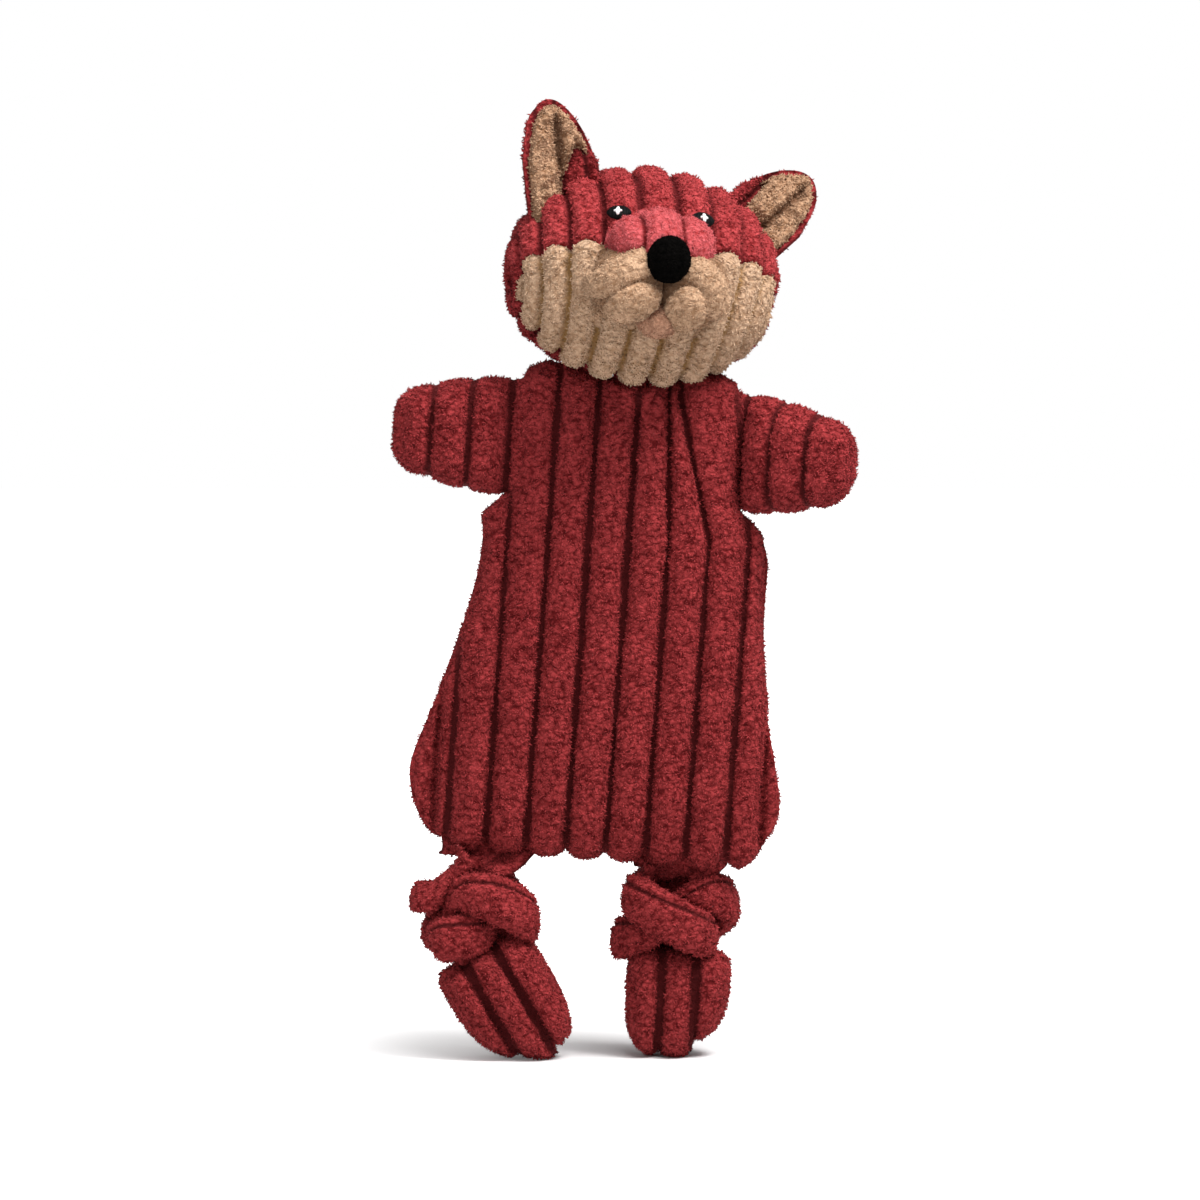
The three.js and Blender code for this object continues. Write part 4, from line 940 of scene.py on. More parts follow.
def strap_object(name):
    """A leg's strap: fanned out under the hem, tied into the knot and drawn out to the ankle."""
    steps, around = KNOT.grid
    tied_line = knot_line(name)
    top = tied_line[0, 2]
    behind = 1.2 - KNOT.places[name][1]
    fan = KNOT.fan[name]
    hidden = np.array([[fan, behind, top + 9.0], [fan, behind, top + 4.5], [fan, behind * 0.7, top + 0.8]])
    line = spline(np.vstack([hidden, tied_line[1:]]), steps)
    lengths = lengths_along(line)
    share = np.clip((lengths - KNOT.hidden) / (lengths[-1] - KNOT.hidden), 0, 1)
    tangent = unit(np.gradient(line, axis=0))
    tied = np.clip(np.minimum(share, 1 - share) / KNOT.lead_share, 0, 1)
    knotted = eased(tied)
    turn = knotted[:, None]
    forward = unit(np.array([0, 0, -1.0]) * (1 - turn) + tangent * turn)
    from_axis = line - np.array([KNOT.shift[name], 0, 0])
    radial = unit(from_axis * np.array([1, 1, 0]), 1e-6)
    across = unit(np.cross(forward, np.array([0, 1.0, 0]) * (1 - turn) + radial * turn))
    out = np.cross(across, forward)
    reach = np.hypot(from_axis[:, 0] / KNOT.wide, from_axis[:, 1] / KNOT.deep)
    inside = np.clip(0.5 - (reach - KNOT.radius) / (2 * KNOT.spread), 0, 1)
    outside = 1 - inside * inside
    upper = share < 0.5
    drawn = eased(np.where(upper, np.clip(share / KNOT.fan_share, 0, 1), tied))
    tied_width = KNOT.core_width + (KNOT.knot_width - KNOT.core_width) * outside
    width = np.where(upper, KNOT.fan_width, KNOT.end_width) * (1 - drawn) + tied_width * drawn
    tied_thickness = KNOT.core_thickness + (KNOT.knot_thickness - KNOT.core_thickness) * outside
    flat = np.where(upper, KNOT.fan_thickness, KNOT.half_thickness)
    thick = flat * (1 - knotted) + tied_thickness * knotted
    s, a = grid(np.arange(steps), np.linspace(0, 2 * math.pi, around + 1))
    cos, sin = np.cos(a), np.sin(a)

    def squared(value):
        return np.sign(value) * np.abs(value) ** KNOT.squareness

    phase = cos * 1.5 + 0.5
    ribs = cord(phase, 9.0, 1.6) * (1 - knotted)[s] + knotted[s]
    points = (
        line[s]
        + across[s] * (width[s] * squared(cos))[..., None]
        - out[s] * (thick[s] * squared(sin) * (0.45 + 0.55 * ribs))[..., None]
    )
    sag = KNOT.sag[name] * np.clip((-points[..., 0] - 9) / 9, 0, 1)
    sag = sag * np.clip((points[..., 2] - 1) / 5, 0, 1)
    points[..., 2] -= sag * knotted[s]
    points = moved(points, leg_matrix(name))
    normals = surface_normals(points)
    centre = moved(line, leg_matrix(name))[s]
    centre = centre - np.array([0, 0, 1.0]) * (sag.mean(axis=1, keepdims=True) * knotted[:, None])[..., None]
    normals = np.where(((points - centre) * normals).sum(-1, keepdims=True) > 0, normals, -normals)
    points = ruffled(points, normals, 0.8, 80 + len(name))
    edge_line = np.exp(-((cos - 0.6) / 0.13) ** 2) * (sin < 0) * knotted[s]
    points = points - normals * (KNOT.edge_groove * edge_line)[..., None]
    points[:, -1] = points[:, 0]
    groove = groove_share(phase, width[s] * 2 / 3, 1.4) * (1 - knotted)[s]
    groove = np.maximum(groove, np.clip(edge_line * 1.6 - 0.4, 0, 1))
    cloth = Cloth()
    index = cloth.add(points, groove, 1 - groove, 0.5 * wandering(points, 7, 81))
    index[:, -1] = index[:, 0]
    cloth.quads(index, flip=True)
    for end in (0, steps - 1):
        middle = cloth.add(centre[end:end + 1, :1], 0.0, 0.0, (0, 0, 0))
        cap = np.broadcast_to(middle, (1, around + 1))
        cloth.quads(np.vstack([cap, index[end:end + 1]]), flip=end == 0)
    return cloth.object(f"leg_{name}")


# Head


def head_surface(around, across):
    """Ribbed ball of the head without its seams, in the head's own frame; its ribs run from front to back."""
    level = np.cos(across)
    side, rise = np.sin(across), level * np.sin(around)
    low = np.clip(-rise, 0, 1) * (np.cos(around) > 0)
    drawn = np.clip(side * (1 + HEAD.gather * low) + HEAD.gather_shift * low, -1, 1)
    phase = np.arcsin(drawn) * HEAD.ribs / (2 * np.pi) + 0.5
    bump = HEAD.relief * cord(phase, HEAD.pitch_mm, 2.2) - HEAD.relief + HEAD.rib_height + FULLER
    bump = bump * np.sqrt(np.clip(level, 0, 1))
    points = np.stack([
        (HEAD.width + bump) * side,
        -(HEAD.depth + bump) * level * np.cos(around),
        (HEAD.height + bump) * rise,
    ], axis=-1)
    hang = HEAD.hang * np.clip((-points[..., 1] - 4) / 12, 0, 1)
    points[..., 2] -= hang * np.clip(-rise * 1.6 - 0.3, 0, 1)
    points[..., 0] *= 1 + HEAD.jowl * np.clip(-rise * 1.5 - 0.15, 0, 1)
    return points, phase, level


def head_regions(points, phase):
    """How far each point lies inside the crown, the face and the back panel, in millimetres."""
    brow, seam = math.radians(HEAD.brow_tilt), math.radians(HEAD.seam_tilt)
    y, z = points[..., 1], points[..., 2]
    scallop = rib_shape(phase, 0.7) - 0.6
    upper = (y + HEAD.brow_depth) * math.sin(brow) + (z - HEAD.brow) * math.cos(brow)
    upper = upper - 2.4 * scallop + 0.5 * noise(points, 3.5, 21)
    front = (-HEAD.face_seam - y) * math.cos(seam) - z * math.sin(seam) + 1.6 * scallop
    face = np.minimum(front, -upper)
    crown = np.minimum(-HEAD.crown_seam - y, upper)
    return dict(face=face, crown=crown, back=-np.maximum(face, crown))


def head_panel(name, region, seed):
    """One panel of the head, cut out of the ribbed ball along its seams, with a lining."""
    columns, rows = HEAD.grid
    around, across = grid(
        np.linspace(-math.pi, math.pi, columns + 1), np.linspace(-0.5, 0.5, rows + 1) * math.pi)
    points, phase, level = head_surface(around, across)
    inside = head_regions(points, phase)[region]
    kept = (inside[:-1, :-1] + inside[1:, :-1] + inside[1:, 1:] + inside[:-1, 1:]) > 0
    touched = np.zeros(inside.shape, int)
    for dx in (0, 1):
        for dy in (0, 1):
            touched[dx:columns + dx, dy:rows + dy] += kept
    # The vertices along the cut are slid onto the seam
    edge = (touched > 0) & (touched < 4) & ~border_of(touched)
    slope = np.stack(np.gradient(inside), axis=-1)
    step = inside / np.maximum((slope ** 2).sum(-1), 1e-3)
    step = np.clip(step[..., None] * slope, -0.7, 0.7) * edge[..., None]
    around = around - step[..., 0] * 2 * math.pi / columns
    across = across - step[..., 1] * math.pi / rows
    points, phase, level = head_surface(around, across)
    inside = np.maximum(head_regions(points, phase)[region], 0)
    radial = unit(points / BALL ** 2)
    points = points - radial * (HEAD.seam_depth * (1 - rounded(inside, HEAD.seam_roll)))[..., None]
    points = ruffled(points, radial, 0.7, seed)
    points[-1] = points[0]
    under = points - radial * HEAD.cloth
    groove = groove_share(phase, HEAD.pitch_mm, 2.4) * rounded(inside, 2.5)
    groove = groove * np.clip(level * 3 - 0.3, 0, 1)
    lay = 0.5 * wandering(points, 7, seed + 5)
    lay[..., 2] -= 0.4
    cloth = Cloth()
    layers = []
    for sheet, flip, cover in ((points, True, 1 - groove), (under, False, 0.0)):
        index = closed(cloth.add(moved(sheet, HEAD_FRAME), groove, cover, lay @ HEAD_FRAME[:3, :3].T))
        cloth.quads(index, flip=flip, kept=kept)
        layers.append(index.reshape(-1))
    cloth.wall(*layers)
    return cloth.object(name)


def face_form(name, centre, radii, relief, seed, half=0, lumps=1.0, columns=170, rows=100):
    """A stuffed form of the muzzle: an ellipsoid with sewn channels and swellings, seated on the ball."""
    turn, rise = ball_grid(columns, rows)
    way = np.stack([np.cos(rise) * np.sin(turn), -np.cos(rise) * np.cos(turn), np.sin(rise)], axis=-1)
    points = np.array(centre) + way * np.array(radii)
    normals = unit(way / np.array(radii))
    # A relief gives a height and a groove; for the flews the groove is painted shade in their crease and
    # round their swellings
    height, groove = relief(points)
    points = closed(ruffled(points + normals * height[..., None], normals, lumps, seed))
    cover = np.ones(points.shape[:-1])
    if half:
        beyond = points[..., 0] * half < SEAM_GAP
        cover = np.where(beyond, 0.0, cover)
        points[..., 0] = np.where(beyond, half * SEAM_GAP, points[..., 0])
    # What would sink under the head's cloth lies on it, without pile
    reach = np.linalg.norm(points / (BALL + FULLER), axis=-1, keepdims=True)
    cover = np.where(reach[..., 0] < 1.0, 0.0, cover)
    points = np.where(reach < 1, points / np.maximum(reach, 0.2), points)
    lay = 0.5 * wandering(points, 6, seed + 5)
    lay[..., 2] -= 0.3
    cloth = Cloth()
    index = cloth.add(moved(points, HEAD_FRAME), groove, cover * (1 - groove), lay @ HEAD_FRAME[:3, :3].T)
    cloth.quads(closed(index))
    return cloth.object(name)


def line_distance(x, z, line):
    """Distance from points to a bent line in the front view."""
    least = np.full(x.shape, 1e9)
    for (x0, z0), (x1, z1) in zip(line[:-1], line[1:]):
        dx, dz = x1 - x0, z1 - z0
        t = np.clip(((x - x0) * dx + (z - z0) * dz) / (dx * dx + dz * dz), 0, 1)
        least = np.minimum(least, np.hypot(x - x0 - t * dx, z - z0 - t * dz))
    return least


def flew_relief(name):
    """A slanting rib beside the nose and a round lobe beside the mouth, with the crease where they meet; the
    crease and the low ground round them are darkened as painted shade.
    """
    side, drop, length, height, tilt = FLEW.lobe[name]
    tilt = math.radians(tilt)

    def relief(points):
        x, z = points[..., 0], points[..., 2]
        away = line_distance(x, z, FLEW.band[name])
        band = FLEW.band_rise * np.sqrt(np.clip(1 - (away / FLEW.band_half) ** 2, 0, 1))
        ahead = ((x - side) * math.cos(tilt) + (z - drop) * math.sin(tilt)) / length
        over = ((z - drop) * math.cos(tilt) - (x - side) * math.sin(tilt)) / height
        lobe = FLEW.lobe_rise * np.sqrt(np.clip(1 - ahead ** 2 - over ** 2, 0, 1))
        swell = (band ** 5 + lobe ** 5) ** (1 / 5)
        # Low ground, in the crease and round the swellings, is drawn towards the weave colour and thinned of
        # pile: painted shade
        return swell - FLEW.sunk, 0.6 * np.clip(1 - swell / 1.4, 0, 1)
    return relief


def bridge_relief(points):
    phase = (points[..., 0] + BRIDGE.shift) / BRIDGE.pitch + 0.5
    return 2.6 * (cord(phase, BRIDGE.pitch, 1.6) - 1) + 0.6, groove_share(phase, BRIDGE.pitch, 1.4)


def plain_relief(points):
    return 0 * points[..., 0], 0 * points[..., 0]


def eye_frame(side):
    level = 1 - (EYE.side / HEAD.width) ** 2 - (EYE.lift / HEAD.height) ** 2
    spot = Vector((side * EYE.side, -HEAD.depth * math.sqrt(level), EYE.lift))
    out = Vector([value / radius ** 2 for value, radius in zip(spot, BALL)]).normalized()
    turn = Vector((0, -1, 0)).rotation_difference(out).to_matrix().to_4x4()
    return HEAD_FRAME @ np.array(Matrix.Translation(spot) @ turn)


def lens(name, matrix, radii, shift, lift, point=1.0, columns=64, rows=28, star=0.0):
    """A low embroidered dome, pointed at its two ends or drawn out into a small star of stitches."""
    turn, rise = ball_grid(columns, rows)
    across = np.cos(rise) * np.cos(turn)
    up = np.cos(rise) * np.sin(turn) * np.where(
        np.abs(across) < 1, np.clip(1 - np.abs(across), 0, 1) ** ((point - 1) * 0.5), 1)
    spikes = 1 + star * np.cos(4 * turn) - 0.5 * star * np.cos(2 * turn)
    across, up = across * spikes, up * spikes
    points = closed(np.stack([
        across * radii[0] + shift[0], -np.sin(rise) * radii[1] - lift, up * radii[2] + shift[1]], axis=-1))
    cloth = Cloth()
    cloth.quads(closed(cloth.add(moved(points, matrix), 0.0, 0.0, (0, 0, 0))))
    obj = cloth.object(name)
    smooth(obj)
    return obj


def ear_matrix(name):
    ear = EAR.places[name]
    return HEAD_FRAME @ place(ear["side"], -ear["depth"], ear["lift"]) @ turned("Z", ear["turn"]) @ turned(
        "Y", ear["lean"]) @ turned("X", -ear["back"])


def ear_layer(name, side, lining, seed):
    """One layer of an ear: the ribbed shell, or the lumpy lining folded along its middle."""
    matrix = ear_matrix(name)
    inset = EAR.inset if lining else 0.0
    half = EAR.half_width - inset
    columns, rows = EAR.grid
    u, v = grid(np.linspace(-1, 1, columns), np.linspace(0, 1, rows))
    inner = along(EAR.flank[name], v)
    reach = np.where(u * -side > 0, u * inner, u) if lining else u
    x = reach * half
    high = (EAR.length - inset) * along(EAR.outline, -side * reach)
    z = high * v
    middle = -EAR.cup * (x / EAR.half_width) ** 2
    gap = np.minimum(half * inner * (1 - np.abs(u)) + half * (1 - inner) * (1 - np.abs(u)), high * (1 - v))
    edge = rounded(gap, EAR.roll)
    if lining:
        crease = np.exp(-((x - EAR.crease[name]) / EAR.crease_width) ** 2) * np.clip((1 - v) * 8, 0, 1)
        at = np.stack([x, middle, z], axis=-1)
        lumps = 1.5 * noise(at, 5.5, seed) + 1.6 * np.abs(noise(at, 3.2, seed + 1)) - 0.4
        front = middle - (FULLER + (EAR.lining + 1.9 + 1.2 * lumps - 4.2 * crease) * edge)
        back = middle - SEAM_GAP * np.ones_like(middle)
        groove = 0.7 * crease
        shown = {-1: 1.0, 1: 0.0}
    else:
        phase = (x * side + 1.5) / EAR.rib_pitch
        ribs = rib_shape(phase)
        past = np.clip((-side * u - inner) / np.maximum(1 - inner, 0.05) * 3, 0, 1) * (inner < 0.97)
        front = middle - SEAM_GAP * np.where(past > 0, 0, 1) - past * (1.6 + 1.8 * ribs) * edge
        back = middle + (EAR.shell - 1.2 + 1.4 * ribs) * edge
        groove = groove_share(phase, EAR.rib_pitch, 1.4)
        shown = {-1: past, 1: 1.0}
    cloth = Cloth()
    border = border_of(x)
    rim = None
    index = {}
    for facing, depth in ((-1, front), (1, back)):
        sheet = np.stack([x, depth, z], axis=-1)
        normals = faced(surface_normals(sheet), facing)
        rim = sheet if rim is None else rim
        sheet = np.where(border[..., None], rim, ruffled(sheet, normals, 0.8, seed + 3))
        lay = 0.6 * wandering(sheet, 6, seed + 5)
        pile = (1 - groove) * shown[facing]
        index[facing] = cloth.add(moved(sheet, matrix), groove, pile, lay @ matrix[:3, :3].T)
    cloth.quads(index[-1])
    cloth.quads(np.where(border, index[-1], index[1]), flip=True)
    return cloth.object(f"ear_{name}_{'inner' if lining else 'outer'}_plush")


def neck_object():
    """The gathered stub of the neck, its round lower end in the collar."""
    columns, rows = NECK.grid
    turn, share = grid(np.linspace(0, 2 * math.pi, columns + 1), np.linspace(0, 1, rows + 1))
    last = len(NECK.profile) - 1
    rise, radius = (
        along([(i / last, row[k]) for i, row in enumerate(NECK.profile)], share) for k in (0, 1))
    radius = radius * (1 - 0.06 * np.abs(np.sin(7 * turn)) * np.clip(share * 3, 0, 1))
    points = np.stack([radius * np.sin(turn), -radius * np.cos(turn), rise], axis=-1)
    points[-1] = points[0]
    cloth = Cloth()
    index = cloth.add(moved(points, NECK_FRAME), 0.0, 0.6, (0, 0, 0))
    index[-1] = index[0]
    cloth.quads(index)
    for row, flip in ((0, False), (rows, True)):
        centre = points[:1, row:row + 1] * np.array([0, 0, 1.0])
        middle = cloth.add(moved(centre, NECK_FRAME), 0.0, 0.0, (0, 0, 0))
        cloth.quads(np.hstack([np.broadcast_to(middle, (columns + 1, 1)), index[:, row:row + 1]]), flip=flip)
    return cloth.object("neck")


# Settings


class FoxPile(bpy.types.PropertyGroup):
    density: bpy.props.FloatProperty(
        name="Pile density", description="Tufts on each square millimetre of plush", default=1.15,
        min=0.0, max=3.0)
    length: bpy.props.FloatProperty(
        name="Pile length", description="Length of a tuft of pile", default=0.0011, min=0.0,
        subtype="DISTANCE", unit="LENGTH")
    spread: bpy.props.FloatProperty(
        name="Pile spread", description="How far the tufts lean each their own way", default=1.0,
        min=0.0, max=3.0)


class FoxColours(bpy.types.PropertyGroup):
    red: bpy.props.FloatVectorProperty(
        name="Red plush", description="Colour of the tips of the red pile", subtype="COLOR",
        min=0.0, max=1.0, default=srgb(208, 78, 80)[:3])
    tan: bpy.props.FloatVectorProperty(
        name="Tan plush", description="Colour of the tips of the tan pile", subtype="COLOR",
        min=0.0, max=1.0, default=srgb(252, 221, 193)[:3])
    felt: bpy.props.FloatVectorProperty(
        name="Nose felt", description="Colour of the felt of the nose", subtype="COLOR",
        min=0.0, max=1.0, default=srgb(13, 11, 10)[:3])
    thread: bpy.props.FloatVectorProperty(
        name="Glint thread", description="Colour of the stitched glint of the eyes", subtype="COLOR",
        min=0.0, max=1.0, default=srgb(252, 252, 252)[:3])


class FoxStage(bpy.types.PropertyGroup):
    distance: bpy.props.FloatProperty(
        name="Camera distance", description="Distance from the camera to the toy", default=6.0, min=0.5,
        subtype="DISTANCE", unit="LENGTH")
    elevation: bpy.props.FloatProperty(
        name="Camera elevation", description="How far the camera looks down on the toy",
        default=math.radians(6), subtype="ANGLE", unit="ROTATION")
    width: bpy.props.FloatProperty(
        name="Frame width", description="Width of the picture at the toy", default=0.4128, min=0.1,
        subtype="DISTANCE", unit="LENGTH")
    key: bpy.props.FloatProperty(
        name="Key light", description="Power of the main soft light", default=50.0, min=0.0, unit="POWER")
    top: bpy.props.FloatProperty(
        name="Top light", description="Power of the soft light close over the head", default=3.4, min=0.0,
        unit="POWER")
    fill: bpy.props.FloatProperty(
        name="Fill light", description="Power of the soft light from the left", default=7.5, min=0.0,
        unit="POWER")
    ambient: bpy.props.FloatProperty(
        name="Ambient light", description="Strength of the white surroundings", default=0.34, min=0.0)


# Operators


class FOX_OT_torso(bpy.types.Operator):
    """Make the two ribbed panels of the flat torso"""
    bl_idname = "fox.torso"
    bl_label = "Torso panels"

    def execute(self, context):
        front = torso_panel("torso_front", -1, TORSO.front_half, 11)
        piled(front, plush("red plush"), seed=11)
        finished(front, "torso", ["torso_front_panel"], "red_plush", fill=0.35)
        back = torso_panel("torso_back", 1, TORSO.back_half, 23)
        piled(back, plush("red plush"), seed=12, density=0.55)
        finished(back, "torso", ["torso_back_panel"], "red_plush", fill=0.35)
        return {"FINISHED"}


class FOX_OT_arms(bpy.types.Operator):
    """Make the two stubby ribbed arms"""
    bl_idname = "fox.arms"
    bl_label = "Arms"

    def execute(self, context):
        for name, side in SIDES:
            arm = piled(arm_object(name, side), plush("red plush"), seed=20 + side)
            shoulder, out = pivot(f"shoulder_{name}"), side * TORSO_FRAME[:3, 0]
            finished(
                arm, f"arm_{name}", [f"arm_{name}_skin"], "red_plush", fill=0.7,
                sewn_to="torso", start=shoulder - 3.0 * out, end=shoulder + 9.0 * out)
        return {"FINISHED"}


class FOX_OT_legs(bpy.types.Operator):
    """Make the knotted straps of the legs and the ribbed feet"""
    bl_idname = "fox.legs"
    bl_label = "Knotted legs and feet"

    def execute(self, context):
        down = np.array([0, 0, -1.0])
        for name, side in SIDES:
            hip, ankle = pivot(f"hip_{name}"), pivot(f"ankle_{name}")
            strap = piled(strap_object(name), plush("red plush"), seed=30 + side, density=0.8)
            finished(
                strap, f"leg_{name}", [f"leg_{name}_strap"], "red_plush", fill=0.5,
                sewn_to="torso", start=hip - 1.0 * down, end=hip + 9.0 * down)
            foot = piled(foot_object(name), plush("red plush"), seed=36 + side)
            finished(
                foot, f"foot_{name}", [f"foot_{name}_skin"], "red_plush", fill=0.7,
                sewn_to=f"leg_{name}", start=ankle - 4.0 * down, end=ankle + 8.0 * down)
        return {"FINISHED"}


class FOX_OT_head(bpy.types.Operator):
    """Make the three sewn panels of the head and the neck"""
    bl_idname = "fox.head"
    bl_label = "Head and neck"

    def execute(self, context):
        # The crown takes the lighter copy of the red plush, with painted top light
        panels = (
            ("crown", "crown plush", "red_plush"), ("face", "tan plush", "tan_plush"),
            ("back", "red plush", "red_plush"),
        )
        for number, (region, look, slot) in enumerate(panels):
            panel = head_panel(f"head_{region}", region, 50 + 7 * number)
            piled(panel, plush(look), seed=40 + number, length=0.95)
            finished(panel, "head", [f"head_{region}_panel"], slot, fill=0.8)
        neck = piled(neck_object(), plush("red plush"), seed=47, density=0.6, length=0.7)
        finished(neck, "neck", ["neck_gather"], "red_plush", fill=0.6)
        return {"FINISHED"}


class FOX_OT_muzzle(bpy.types.Operator):
    """Make the flews, the bridge, the chin and the felt nose"""
    bl_idname = "fox.muzzle"
    bl_label = "Muzzle and nose"

    def execute(self, context):
        for name, side in SIDES:
            flew = face_form(
                f"flew_{name}", (side * FLEW.side, -FLEW.depth, -FLEW.drop), FLEW.radii,
                flew_relief(name), 70 + side, half=side, lumps=0.9)
            piled(flew, plush("tan velour"), seed=70 + side, density=1.5, length=0.75)
            finished(flew, "head", [f"muzzle_flew_{name}"], "tan_plush", fill=0.8)
        bridge = face_form("bridge", BRIDGE.centre, BRIDGE.radii, bridge_relief, 75)
        # The bridge's lighter, pinker velour is painted top light
        piled(bridge, plush("red velour"), seed=75, density=1.5, length=0.75)
        finished(bridge, "head", ["muzzle_bridge"], "red_plush", fill=0.8)
        chin = face_form(
            "chin_pad", CHIN.centre, CHIN.radii, plain_relief, 77, lumps=0.6, columns=90, rows=50)
        piled(chin, plush("chin velour"), seed=77, density=1.5, length=0.7)
        finished(chin, "head", ["chin"], "tan_plush", fill=0.8)
        nose = face_form(
            "nose_felt", NOSE.centre, NOSE.radii, plain_relief, 79, lumps=0.3, columns=110, rows=60)
        piled(nose, plush("black felt"), seed=79, density=4.0, length=0.4, spread=1.2)
        finished(nose, "head", ["nose"], "black_felt", fill=0.9)
        return {"FINISHED"}


class FOX_OT_eyes(bpy.types.Operator):
    """Make the embroidered eyes and their glints"""
    bl_idname = "fox.eyes"
    bl_label = "Eyes"

    def execute(self, context):
        radii = (EYE.half_width, EYE.thickness, EYE.half_height)
        shift = (-0.06 * EYE.half_width, -0.1 * EYE.half_height)
        lift = HEAD.rib_height
        white = context.scene.fox_colours.thread
        for name, side in SIDES:
            matrix = eye_frame(side)
            eye = lens(f"stitched_eye_{name}", matrix, radii, (0, 0), lift, point=EYE.point)
            eye.data.materials.append(
                thread_material("black thread", srgb(1, 1, 1), srgb(7, 7, 8), 260, shine=0.06))
            finished(eye, "head", [f"eye_{name}"], "black_felt")
            glint = lens(
                f"stitched_glint_{name}", matrix, EYE.glint, shift, lift + EYE.thickness,
                columns=40, rows=14, star=0.3)
            glint.data.materials.append(thread_material(
                "white thread", shaded(white, (0.8, 0.8, 0.8)), shaded(white, (1, 1, 1)), 420))
            finished(glint, "head", [f"eye_{name}_glint"], "white_thread")
        return {"FINISHED"}


class FOX_OT_ears(bpy.types.Operator):
    """Make the two-layered ears"""
    bl_idname = "fox.ears"
    bl_label = "Ears"

    def execute(self, context):
        for name, side in SIDES:
            root, up = ear_matrix(name)[:3, 3], ear_matrix(name)[:3, 2]
            seam = dict(sewn_to="head", start=root + 1.0 * up, end=root + 13.0 * up)
            shell = piled(ear_layer(name, side, False, 90 + side), plush("red plush"), seed=90 + side)
            finished(shell, f"ear_{name}", [f"ear_{name}_shell"], "red_plush", fill=0.3, **seam)
            lining = ear_layer(name, side, True, 94 + side)
            piled(lining, plush("ear plush"), seed=94 + side, density=1.2, spread=1.2)
            finished(lining, f"ear_{name}", [f"ear_{name}_lining"], "tan_plush", fill=0.3, **seam)
        return {"FINISHED"}


class FOX_OT_inside(bpy.types.Operator):
    """Give the hidden filling, crinkle sheet and squeaker their finishes"""
    bl_idname = "fox.inside"
    bl_label = "Hidden inside"

    def execute(self, context):
        fibre = plain_material("fibre filling", srgb(214, 210, 202), srgb(247, 245, 240), 320, 0.95)
        crinkle = plain_material("crinkle film", srgb(196, 203, 208), srgb(228, 233, 236), 90, 0.3)
        vinyl = plain_material("squeaker vinyl", srgb(226, 219, 200), srgb(242, 237, 222), 60, 0.42)
        reed = plain_material("squeaker reed", srgb(232, 230, 226), srgb(246, 245, 242), 140, 0.5)
        looks = {"filling": fibre, "wadding": fibre, "crinkle": crinkle, "bulb": vinyl, "reed": reed}
        for title, node in frame["nodes"].items():
            for word, look in looks.items():
                if word in title:
                    node.data.materials.clear()
                    node.data.materials.append(look)
        return {"FINISHED"}


def not_lighting(tree, *rays):
    """1 for the rays that show a surface, 0 for those that carry its light to others."""
    path = added(tree, "ShaderNodeLightPath")
    seen = maths(tree, "MAXIMUM", path.outputs["Is Camera Ray"], path.outputs["Is Glossy Ray"])
    for ray in rays:
        seen = maths(tree, "MAXIMUM", seen, path.outputs[ray])
    return seen


def stage_object(context, name, data, spot, direction):
    obj = bpy.data.objects.new(name, data)
    obj.location = spot
    obj.rotation_euler = direction.to_track_quat("-Z", "Y").to_euler()
    context.scene.collection.objects.link(obj)
    return obj


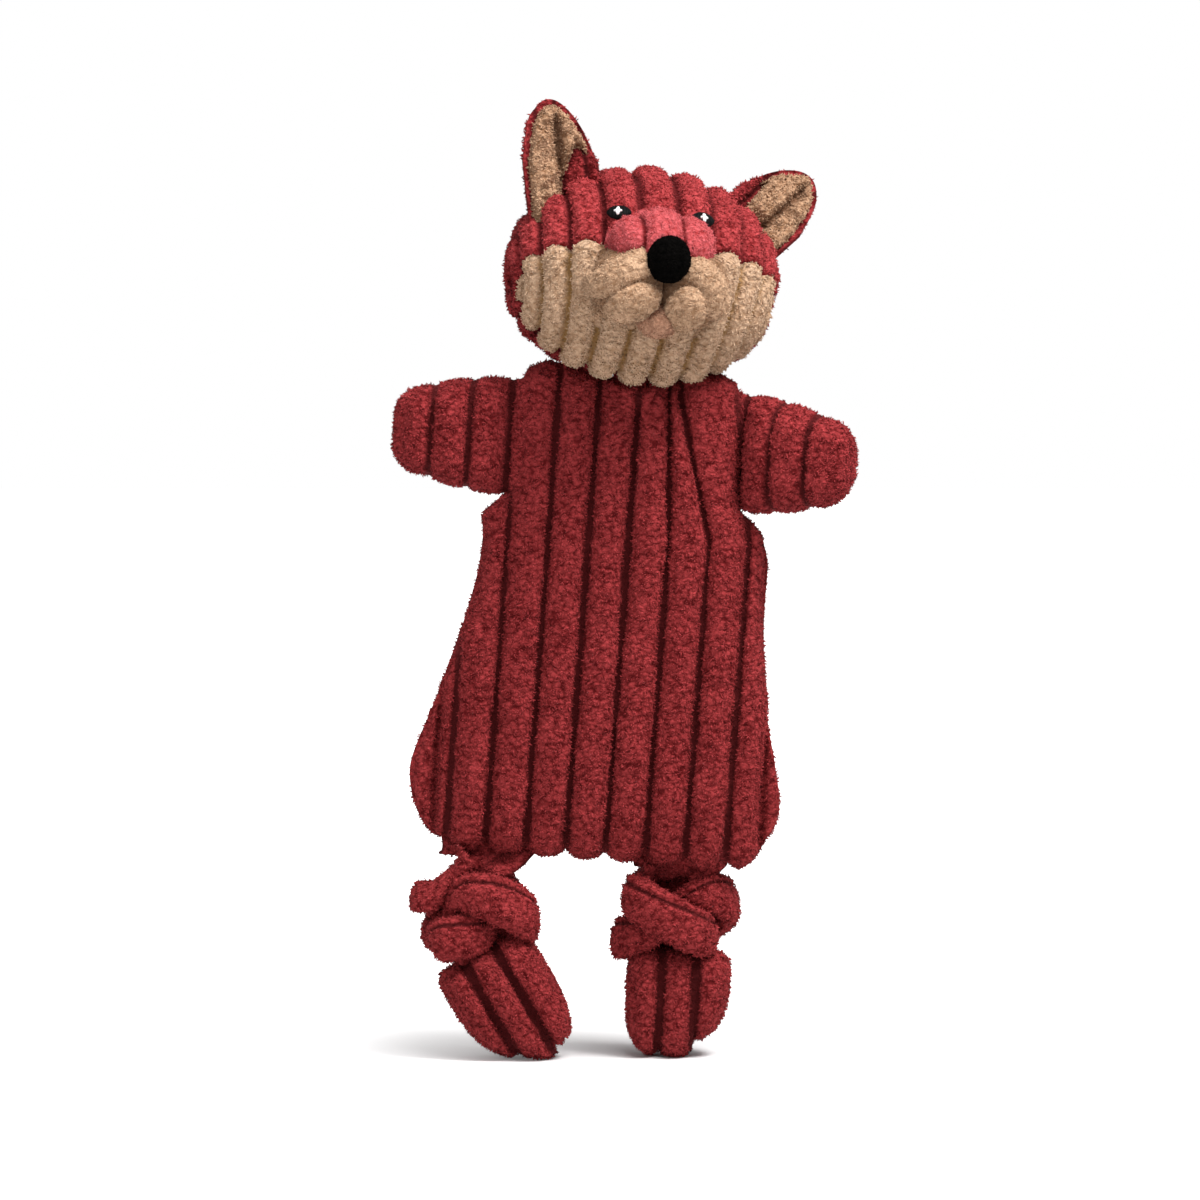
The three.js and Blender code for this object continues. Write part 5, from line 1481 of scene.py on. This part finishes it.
class FOX_OT_stage(bpy.types.Operator):
    """Set up the white floor, the soft lamps and the camera"""
    bl_idname = "fox.stage"
    bl_label = "Photo stage"

    def execute(self, context):
        settings = context.scene.fox_stage
        self.floor(context)
        for title, size, spot in LAMPS:
            lamp = bpy.data.lights.new(title, "AREA")
            lamp.energy, lamp.size = getattr(settings, title), size
            stage_object(context, title, lamp, spot, LAMP_AIM - Vector(spot))
        self.surroundings(context, settings)
        self.camera(context, settings)
        context.scene.view_settings.view_transform = "Standard"
        return {"FINISHED"}

    def floor(self, context):
        """The floor is a light grey that glows white to the camera away from the toy."""
        floor_material, tree, shader = material("white floor")
        away = added(tree, "ShaderNodeVectorMath", {0: coordinates(tree)}, operation="LENGTH")
        away = maths(tree, "SUBTRACT", away.outputs["Value"], SHADOW_REACH)
        glow = maths(tree, "MULTIPLY_ADD", away, GLOW_SLOPE, SHADOW_GLOW, clamp=True)
        feed(tree, shader, {
            "Emission Strength": maths(tree, "MULTIPLY", not_lighting(tree), glow),
            "Base Color": mixed(tree, speckle(tree, 30.0), srgb(226, 225, 225), srgb(232, 231, 231)),
            "Emission Color": (1, 1, 1, 1), "Roughness": 1.0, "Specular IOR Level": 0.0,
        })
        mesh = bpy.data.meshes.new("floor")
        signs = ((-1, -1), (1, -1), (1, 1), (-1, 1))
        mesh.from_pydata([(x * FLOOR_HALF, y * FLOOR_HALF, 0) for x, y in signs], [], [(0, 1, 2, 3)])
        mesh.materials.append(floor_material)
        floor = bpy.data.objects.new("floor", mesh)
        context.scene.collection.objects.link(floor)

    def surroundings(self, context, settings):
        """White to the camera, dimmer as a light."""
        world = bpy.data.worlds.new("white surroundings")
        world.use_nodes = True
        tree = world.node_tree
        seen = not_lighting(tree, "Is Transmission Ray")
        strength = maths(tree, "MULTIPLY_ADD", seen, 1 - settings.ambient, settings.ambient)
        feed(tree, tree.nodes["Background"], {"Color": (1, 1, 1, 1), "Strength": strength})
        context.scene.world = world

    def camera(self, context, settings):
        camera = bpy.data.cameras.new("camera")
        camera.sensor_fit = "HORIZONTAL"
        camera.lens = camera.sensor_width * settings.distance / settings.width
        camera.clip_end = 20
        way = Vector((0, -math.cos(settings.elevation), math.sin(settings.elevation)))
        spot = CAMERA_AIM + way * settings.distance
        context.scene.camera = stage_object(context, "camera", camera, spot, -way)


class FOX_PT_panel(bpy.types.Panel):
    """Sidebar panel with the settings and the pieces of the fox"""
    bl_idname = "FOX_PT_panel"
    bl_label = "Plush fox"
    bl_space_type = "VIEW_3D"
    bl_region_type = "UI"
    bl_category = "Plush fox"

    def draw(self, context):
        for group in (context.scene.fox_pile, context.scene.fox_colours, context.scene.fox_stage):
            box = self.layout.box()
            for name in group.__annotations__:
                box.prop(group, name)
        for operator in OPERATORS:
            self.layout.operator(operator.bl_idname)


GROUPS = (("fox_pile", FoxPile), ("fox_colours", FoxColours), ("fox_stage", FoxStage))
OPERATORS = (
    FOX_OT_torso, FOX_OT_arms, FOX_OT_legs, FOX_OT_head, FOX_OT_muzzle, FOX_OT_eyes, FOX_OT_ears,
    FOX_OT_inside, FOX_OT_stage,
)


def register():
    for _, group in GROUPS:
        bpy.utils.register_class(group)
    for name, group in GROUPS:
        setattr(bpy.types.Scene, name, bpy.props.PointerProperty(type=group))
    for operator in OPERATORS:
        bpy.utils.register_class(operator)
    bpy.utils.register_class(FOX_PT_panel)


def unregister():
    bpy.utils.unregister_class(FOX_PT_panel)
    for operator in reversed(OPERATORS):
        bpy.utils.unregister_class(operator)
    for name, group in reversed(GROUPS):
        delattr(bpy.types.Scene, name)
        bpy.utils.unregister_class(group)


def corners(bounds):
    return [[float(value) for value in corner] for corner in bounds]


def main():
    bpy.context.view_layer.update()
    register()
    bpy.ops.fox.torso()
    bpy.ops.fox.arms()
    bpy.ops.fox.legs()
    bpy.ops.fox.head()
    bpy.ops.fox.muzzle()
    bpy.ops.fox.eyes()
    bpy.ops.fox.ears()
    bpy.ops.fox.inside()
    bpy.ops.fox.stage()
    helper = bpy.data.objects.get("tuft")
    if helper:
        bpy.data.objects.remove(helper)


if __name__ == "__main__":
    main()
